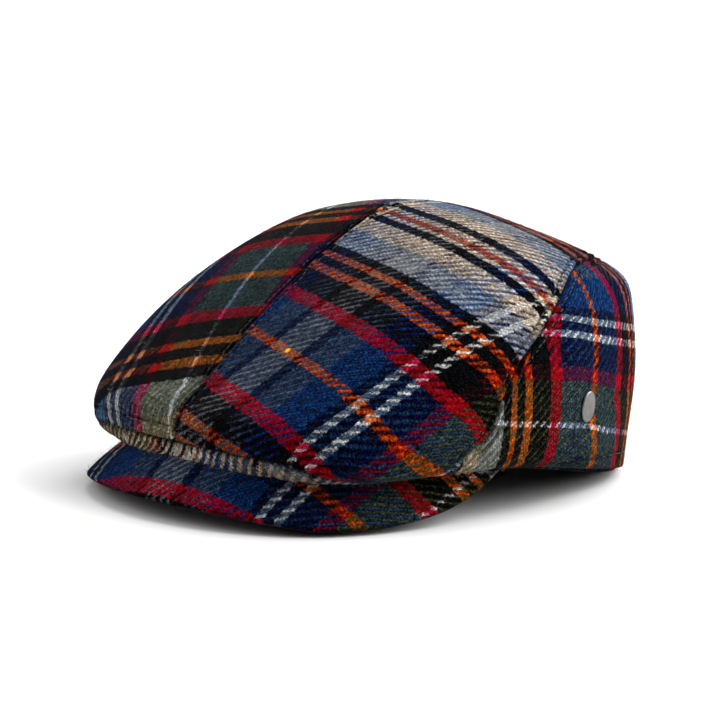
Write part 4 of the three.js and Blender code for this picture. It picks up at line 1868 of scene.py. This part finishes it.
@dataclass
class Badge:
    """The bare oval metal plate on the left of the back panel.

    Attributes:
        angle: Its place round the crown.
        share: Its place up the crown.
        height: Its height.
        width: Its width.
        thick: Its thickness at the middle.
        tilt: How far its top leans towards the back, in degrees.
        stand: Space between the plate and the form.
        section: Half a section through it, as shares of its size and of its thickness.
    """

    angle: float = 105.2
    share: float = 0.262
    height: float = 12.8
    width: float = 8.6
    thick: float = 1.1
    tilt: float = 9.0
    stand: float = 0.15
    section: Table = (
        (0.0, 0.0), (0.47, 0.0), (0.5, 0.08), (0.5, 0.5), (0.485, 0.72), (0.455, 0.84),
        (0.43, 0.85), (0.415, 0.8), (0.39, 0.82), (0.3, 0.92), (0.16, 0.98), (0.0, 1.0),
    )

    def axes(self) -> tuple[Array, Array, Array, Array]:
        """Finds where the plate lies.

        Returns:
            Its middle and its directions across, up and outwards.
        """
        near = self.angle + np.array([-0.5, 0.0, 0.5])
        share = self.share + np.array([-0.001, 0.0, 0.001])
        grid = FORM.crown_point(near, np.repeat(share[:, None], 3, axis=1))
        outward = unit(np.cross(grid[1, 2] - grid[1, 0], grid[2, 1] - grid[0, 1]))
        across = unit(np.cross([0.0, 0.0, 1.0], outward))
        up = np.cross(outward, across)
        turn = math.radians(-self.tilt)
        tilted = across * math.cos(turn) + up * math.sin(turn)
        return grid[1, 1], tilted, np.cross(outward, tilted), outward

    def build(self, metal: Material) -> Object:
        """Makes the plate.

        Args:
            metal: Its finish.

        Returns:
            The piece, riding in the frame.
        """
        middle, across, up, outward = self.axes()
        turn = np.linspace(0.0, 2.0 * math.pi, 97)[:-1]
        grid = []
        for radius, level in self.section:
            x, y = radius * self.width * np.cos(turn), radius * self.height * np.sin(turn)
            raised = outward * (level * self.thick + self.stand)
            grid.append(middle + np.outer(x, across) + np.outer(y, up) + raised)
        points = np.concatenate(grid)
        count, last = len(turn), len(self.section) - 1
        faces: list[tuple[int, ...]] = []
        for ring in range(last):
            for i in range(count):
                j = (i + 1) % count
                low, high = ring * count, (ring + 1) * count
                face = [low + i, low + j, high + j, high + i]
                if ring == 0:
                    face = [0, high + j, high + i]
                if ring == last - 1:
                    face = [low + i, low + j, last * count]
                faces.append(tuple(face))
        used = np.unique(np.concatenate([np.array(face) for face in faces]))
        renumber = {int(old): new for new, old in enumerate(used)}
        faces = [tuple(renumber[v] for v in face) for face in faces]
        zeros = np.zeros((len(used), 4))
        body = ClothMesh(points[used], faces, [False] * len(faces), zeros, zeros[:, 0])
        piece = cloth_object("badge_plate", body, [metal])
        return place_in_frame(piece, "badge_metal", "badge")


# ---- what repeats ----


class RepeatTree:
    """A Geometry Nodes tree with named inputs, run once and turned into a plain mesh."""

    kinds = {float: "NodeSocketFloat", int: "NodeSocketInt", Material: "NodeSocketMaterial"}

    def __init__(self, name: str, inputs: dict[str, Any]) -> None:
        """Starts the tree.

        Args:
            name: The tree's name.
            inputs: Value of each named input.
        """
        self.tree = bpy.data.node_groups.new(name, "GeometryNodeTree")
        self.graph = Graph(self.tree)
        self.values = inputs
        self.tree.interface.new_socket("Geometry", in_out="INPUT", socket_type="NodeSocketGeometry")
        self.tree.interface.new_socket("Geometry", in_out="OUTPUT", socket_type="NodeSocketGeometry")
        for key, value in inputs.items():
            self.tree.interface.new_socket(key, in_out="INPUT", socket_type=self.kinds[type(value)])
        self.given = self.graph.node("NodeGroupInput").outputs

    def close(self, geometry: NodeSocket) -> None:
        """Ends the tree in realized instances with the named material.

        Args:
            geometry: The instances.
        """
        real = self.graph.node("GeometryNodeRealizeInstances", {0: geometry})
        inputs = {"Geometry": real.outputs[0], "Material": self.given["Material"]}
        dressed = self.graph.node("GeometryNodeSetMaterial", inputs)
        self.graph.node("NodeGroupOutput", {0: dressed.outputs[0]})

    def run(self, base: Mesh, name: str) -> Object:
        """Runs the tree on a mesh.

        Args:
            base: The mesh that the tree starts from.
            name: Name of the finished piece.

        Returns:
            A new object with a plain mesh and no modifier.
        """
        carrier = new_object(f"{name}_carrier", base)
        modifier = carrier.modifiers.new("repeat", "NODES")
        modifier.node_group = self.tree
        for item in self.tree.interface.items_tree:
            if item.item_type == "SOCKET" and item.in_out == "INPUT" and item.name in self.values:
                modifier[item.identifier] = self.values[item.name]
        graph = bpy.context.evaluated_depsgraph_get()
        mesh = bpy.data.meshes.new_from_object(carrier.evaluated_get(graph), depsgraph=graph)
        mesh.name = name
        carrier.modifiers.clear()
        bpy.data.objects.remove(carrier)
        return new_object(name, mesh)


@dataclass
class Topstitching:
    """Rows of topstitches that follow lines on the cloth.

    Attributes:
        pitch: Length from one stitch to the next.
        share: How much of that the thread covers.
        thread: Thickness of the thread.
        sunk: How deep the thread lies in the cloth, as a share of its thickness.
    """

    pitch: float = STITCH_PITCH
    share: float = 0.8
    thread: float = 0.42
    sunk: float = 0.15

    def tree(self, material: Material) -> RepeatTree:
        """Makes the tree that sews along lines.

        Args:
            material: The thread's finish.

        Returns:
            The tree.
        """
        inputs = {
            "Pitch": self.pitch * MM,
            "Length": self.pitch * self.share * MM,
            "Thickness": self.thread * MM,
            "Material": material,
        }
        made = RepeatTree("topstitches", inputs)
        g, given = made.graph, made.given
        curve = g.node("GeometryNodeMeshToCurve", {"Mesh": given["Geometry"]})
        along = {"Curve": curve.outputs[0], "Length": given["Pitch"]}
        evened = g.node("GeometryNodeResampleCurve", along, mode="LENGTH")
        bead = g.node("GeometryNodeMeshUVSphere", {"Segments": 8, "Rings": 6, "Radius": 0.5})
        size = g.point(given["Length"], given["Thickness"], given["Thickness"])
        lying = {"Geometry": bead.outputs[0], "Rotation": (0.0, math.pi / 2, 0.0)}
        turned = g.node("GeometryNodeTransform", lying)
        stitch = g.node("GeometryNodeTransform", {"Geometry": turned.outputs[0], "Scale": size})
        smooth = g.node("GeometryNodeSetShadeSmooth", {"Geometry": stitch.outputs[0]})
        outward = g.node("GeometryNodeInputNamedAttribute", {"Name": "outward"}, data_type="FLOAT_VECTOR")
        tangent = g.node("GeometryNodeInputTangent")
        kind = "FunctionNodeAlignRotationToVector"
        first = g.node(kind, {"Vector": tangent.outputs[0]}, axis="X")
        upright = {"Rotation": first.outputs[0], "Vector": outward.outputs[0]}
        second = g.node(kind, upright, axis="Z", pivot_axis="X")
        placed = {"Points": evened.outputs[0], "Rotation": second.outputs[0]}
        sown = g.node("GeometryNodeInstanceOnPoints", {"Instance": smooth.outputs[0], **placed})
        made.close(sown.outputs[0])
        return made

    def build(
        self, name: str, slot: str, lines: Sequence[Array], thread: Material
    ) -> Object:
        """Sews along lines.

        Args:
            name: Name of the finished piece.
            slot: Material slot of the cloth that it is sewn in.
            lines: Rows of points with their outward directions.
            thread: The thread's finish.

        Returns:
            The stitches, riding in the frame.
        """
        mesh = bpy.data.meshes.new(f"{name}_lines")
        points = np.concatenate(lines)
        outward = points[:, 3:]
        places = points[:, :3] - outward * self.thread * (self.sunk - 0.5) + SHIFT
        edges = []
        start = 0
        for line in lines:
            edges += [(start + i, start + i + 1) for i in range(len(line) - 1)]
            start += len(line)
        mesh.from_pydata((places * MM).tolist(), edges, [])
        attribute = mesh.attributes.new("outward", "FLOAT_VECTOR", "POINT")
        attribute.data.foreach_set("vector", outward.astype(np.float32).ravel())
        piece = self.tree(thread).run(mesh, name)
        return place_in_frame(piece, slot)


@dataclass
class Nap:
    """Loose hairs standing off brushed cloth.

    Attributes:
        density: Hairs on a square metre.
        length: Length of a hair.
        thick: Its thickness.
        shortest: Length of the shortest hairs, as a share of that.
        longest: Length of the longest.
    """

    density: float = 170000.0
    length: float = 1.9
    thick: float = 0.06
    shortest: float = 0.35
    longest: float = 1.25

    def tree(self, material: Material, seed: int) -> RepeatTree:
        """Makes the tree that scatters hairs on the outer side of a cloth.

        Args:
            material: The hairs' finish.
            seed: Seed of the scattering.

        Returns:
            The tree.
        """
        inputs = {
            "Density": self.density,
            "Hair Length": self.length * MM,
            "Hair Thickness": self.thick * MM,
            "Seed": seed,
            "Material": material,
        }
        made = RepeatTree("nap", inputs)
        g, given = made.graph, made.given
        outer = g.node("GeometryNodeInputNamedAttribute", {"Name": "outer"}, data_type="FLOAT")
        density = g.math("MULTIPLY", outer.outputs[0], given["Density"])
        sowing = {"Mesh": given["Geometry"], "Density": density, "Seed": given["Seed"]}
        sown = g.node("GeometryNodeDistributePointsOnFaces", sowing)
        bend = {"Start": (0.0, 0.0, -0.1), "Middle": (0.05, 0.0, 0.55), "End": (0.55, 0.1, 0.75)}
        arc = g.node("GeometryNodeCurveQuadraticBezier", {"Resolution": 3, **bend})
        ring = g.node("GeometryNodeCurvePrimitiveCircle", {"Resolution": 3, "Radius": 0.5})
        size = g.math("DIVIDE", given["Hair Thickness"], given["Hair Length"])
        narrow = g.point(size, size, size)
        narrow = g.node("GeometryNodeTransform", {"Geometry": ring.outputs[0], "Scale": narrow})
        along = {"Curve": arc.outputs[0], "Profile Curve": narrow.outputs[0], "Fill Caps": True}
        tube = g.node("GeometryNodeCurveToMesh", along)
        lean = g.node("FunctionNodeRandomValue", data_type="FLOAT_VECTOR")
        for socket, value in ((0, (-1.0, -1.0, -math.pi)), (1, (1.0, 1.0, math.pi))):
            lean.inputs[socket].default_value = value
        g.feed(lean.inputs["Seed"], given["Seed"])
        leaning = {0: sown.outputs["Rotation"], 1: lean.outputs[0]}
        turn = g.node("FunctionNodeRotateRotation", leaning, rotation_space="LOCAL")
        grow = g.node("FunctionNodeRandomValue", data_type="FLOAT")
        grow.inputs[2].default_value, grow.inputs[3].default_value = self.shortest, self.longest
        scale = g.math("MULTIPLY", grow.outputs[1], given["Hair Length"])
        placed = {"Points": sown.outputs[0], "Rotation": turn.outputs[0], "Scale": scale}
        hairs = g.node("GeometryNodeInstanceOnPoints", {"Instance": tube.outputs[0], **placed})
        made.close(hairs.outputs[0])
        return made

    def build(
        self, cloth: Object, slot: str, hair: Material, seed: int
    ) -> Object:
        """Grows hairs on a cloth piece.

        Args:
            cloth: The finished cloth piece.
            slot: Its material slot.
            hair: The hairs' finish.
            seed: Seed of the scattering.

        Returns:
            The hairs, riding in the frame.
        """
        name = cloth.name.replace("_cloth", "_nap")
        piece = self.tree(hair, seed).run(cloth.data.copy(), name)
        return place_in_frame(piece, slot)


# ---- the studio ----


@dataclass
class Studio:
    """Floor, lights and camera.

    The camera's angles, lens and shift were found by a fitting program and rounded. The lights
    were set one by one.

    Attributes:
        azimuth: The camera's place round the cap, in degrees.
        elevation: Its height above the floor, in degrees.
        distance: Its distance, in millimetres.
        lens: Its focal length on a 36 mm sensor.
        aim: The point it looks at, in the construction's frame.
        shift: Its sideways and upward shift.
    """

    azimuth: float = 50.08
    elevation: float = 9.42
    distance: float = 1400.0
    lens: float = 166.23
    aim: tuple[float, float, float] = (0.0, 0.0, 50.0)
    shift: tuple[float, float] = (-0.048, -0.002)

    def back(self, azimuth: float, elevation: float) -> Vector:
        """Returns the direction from the cap to a place round it."""
        a, e = math.radians(azimuth), math.radians(elevation)
        return Vector((math.sin(a) * math.cos(e), -math.cos(a) * math.cos(e), math.sin(e)))

    def camera(self) -> None:
        """Makes the camera."""
        data = bpy.data.cameras.new("camera")
        data.lens, data.sensor_width = self.lens, 36.0
        data.shift_x, data.shift_y = self.shift
        data.clip_start, data.clip_end = 0.05, 50.0
        seen = bpy.data.objects.new("camera", data)
        bpy.context.scene.collection.objects.link(seen)
        aim = Vector((np.array(self.aim) + SHIFT) * MM)
        direction = self.back(self.azimuth, self.elevation)
        seen.location = aim + direction * self.distance * MM
        seen.rotation_euler = (-direction).to_track_quat("-Z", "Y").to_euler()
        bpy.context.scene.camera = seen

    def light(self, name: str, azimuth: float, elevation: float, spread: float, power: float) -> None:
        """Adds a broad, distant light.

        Args:
            name: The light's name.
            azimuth: Its place round the cap, in degrees.
            elevation: Its height above the floor, in degrees.
            spread: How broad it looks, in degrees.
            power: Its strength.
        """
        data = bpy.data.lights.new(name, "SUN")
        data.angle, data.energy = math.radians(spread), power
        lamp = bpy.data.objects.new(name, data)
        bpy.context.scene.collection.objects.link(lamp)
        direction = self.back(azimuth, elevation)
        lamp.location = direction * 2.0
        lamp.rotation_euler = (-direction).to_track_quat("-Z", "Y").to_euler()

    def build(self) -> None:
        """Makes the whole studio."""
        bpy.ops.mesh.primitive_plane_add(size=30.0, location=(0.0, 0.0, 0.0))
        floor = bpy.context.active_object
        floor.name = "studio_floor"
        floor.data.materials.append(PALE_FLOOR.material())
        world = bpy.data.worlds.new("studio")
        world.use_nodes = True
        graph = Graph(world.node_tree)
        sky = graph.node("ShaderNodeTexCoord").outputs["Generated"]
        height = graph.node("ShaderNodeSeparateXYZ", {0: sky}).outputs[2]
        upward = graph.math("MAXIMUM", height, 0.0)
        dome = graph.math("MULTIPLY_ADD", graph.math("MULTIPLY", upward, upward), 1.25, 0.05)
        light = graph.node("ShaderNodeBackground", {"Color": (1.0, 1.0, 1.0, 1.0), "Strength": dome})
        graph.node("ShaderNodeOutputWorld", {"Surface": light.outputs[0]})
        bpy.context.scene.world = world
        self.light("overhead", 170.0, 56.0, 60.0, 3.15)
        self.light("side", 140.0, 30.0, 50.0, 4.2)
        self.light("far_side", -50.0, 34.0, 50.0, 1.2)
        self.camera()
        bpy.context.scene.view_settings.view_transform = "Standard"


# ---- the cap ----


def main() -> None:
    """Builds every piece of the cap in order, and the studio round it."""
    logging.basicConfig(level=logging.INFO, format="%(name)s: %(message)s")
    tweed, lining = Tweed().material(), Lining().material()
    flecked = Tweed(name="flecked_tweed", fleck=(16.3, -55.6)).material()
    brushed = Tweed(name="brushed_tweed", haze=0.9).material()
    # painted light: the same tweed made lighter for the back panel, which faces the side light
    lit_side_cloth = Tweed(name="lit_side_tweed", haze=0.55, depth=0.76).material()
    # painted shade: the same tweed made darker for the strip, which lies in the shade under the crown's
    # overhang
    shaded = Tweed(name="strip_tweed", haze=0.1, bulk=0.05, depth=0.5).material()
    thread, hair = STITCH_THREAD.material(), TweedFibre().material()
    Studio().build()

    left, right = CrownHalf(side=Side.LEFT), CrownHalf(side=Side.RIGHT)
    back, strip, peak = BackPanel(), FrontStrip(), Peak()
    pieces = {
        "crown_tweed": [left.build(flecked, lining), right.build(brushed, lining)],
        "back_tweed": [back.build(lit_side_cloth, lining)],
        "strip_tweed": [strip.build(shaded, lining)],
        "peak_tweed": [peak.build(tweed)],
    }
    EarFlap().build(tweed)
    Badge().build(SATIN_STEEL.material())

    rows = Topstitching()
    rows.build("crown_topstitches", "crown_tweed", left.stitch_lines + right.stitch_lines, thread)
    rows.build("back_topstitches", "back_tweed", back.stitch_lines, thread)
    seed = 11
    for slot, cloths in pieces.items():
        for cloth in cloths:
            Nap().build(cloth, slot, hair, seed)
            seed += 1


if __name__ == "__main__":
    main()
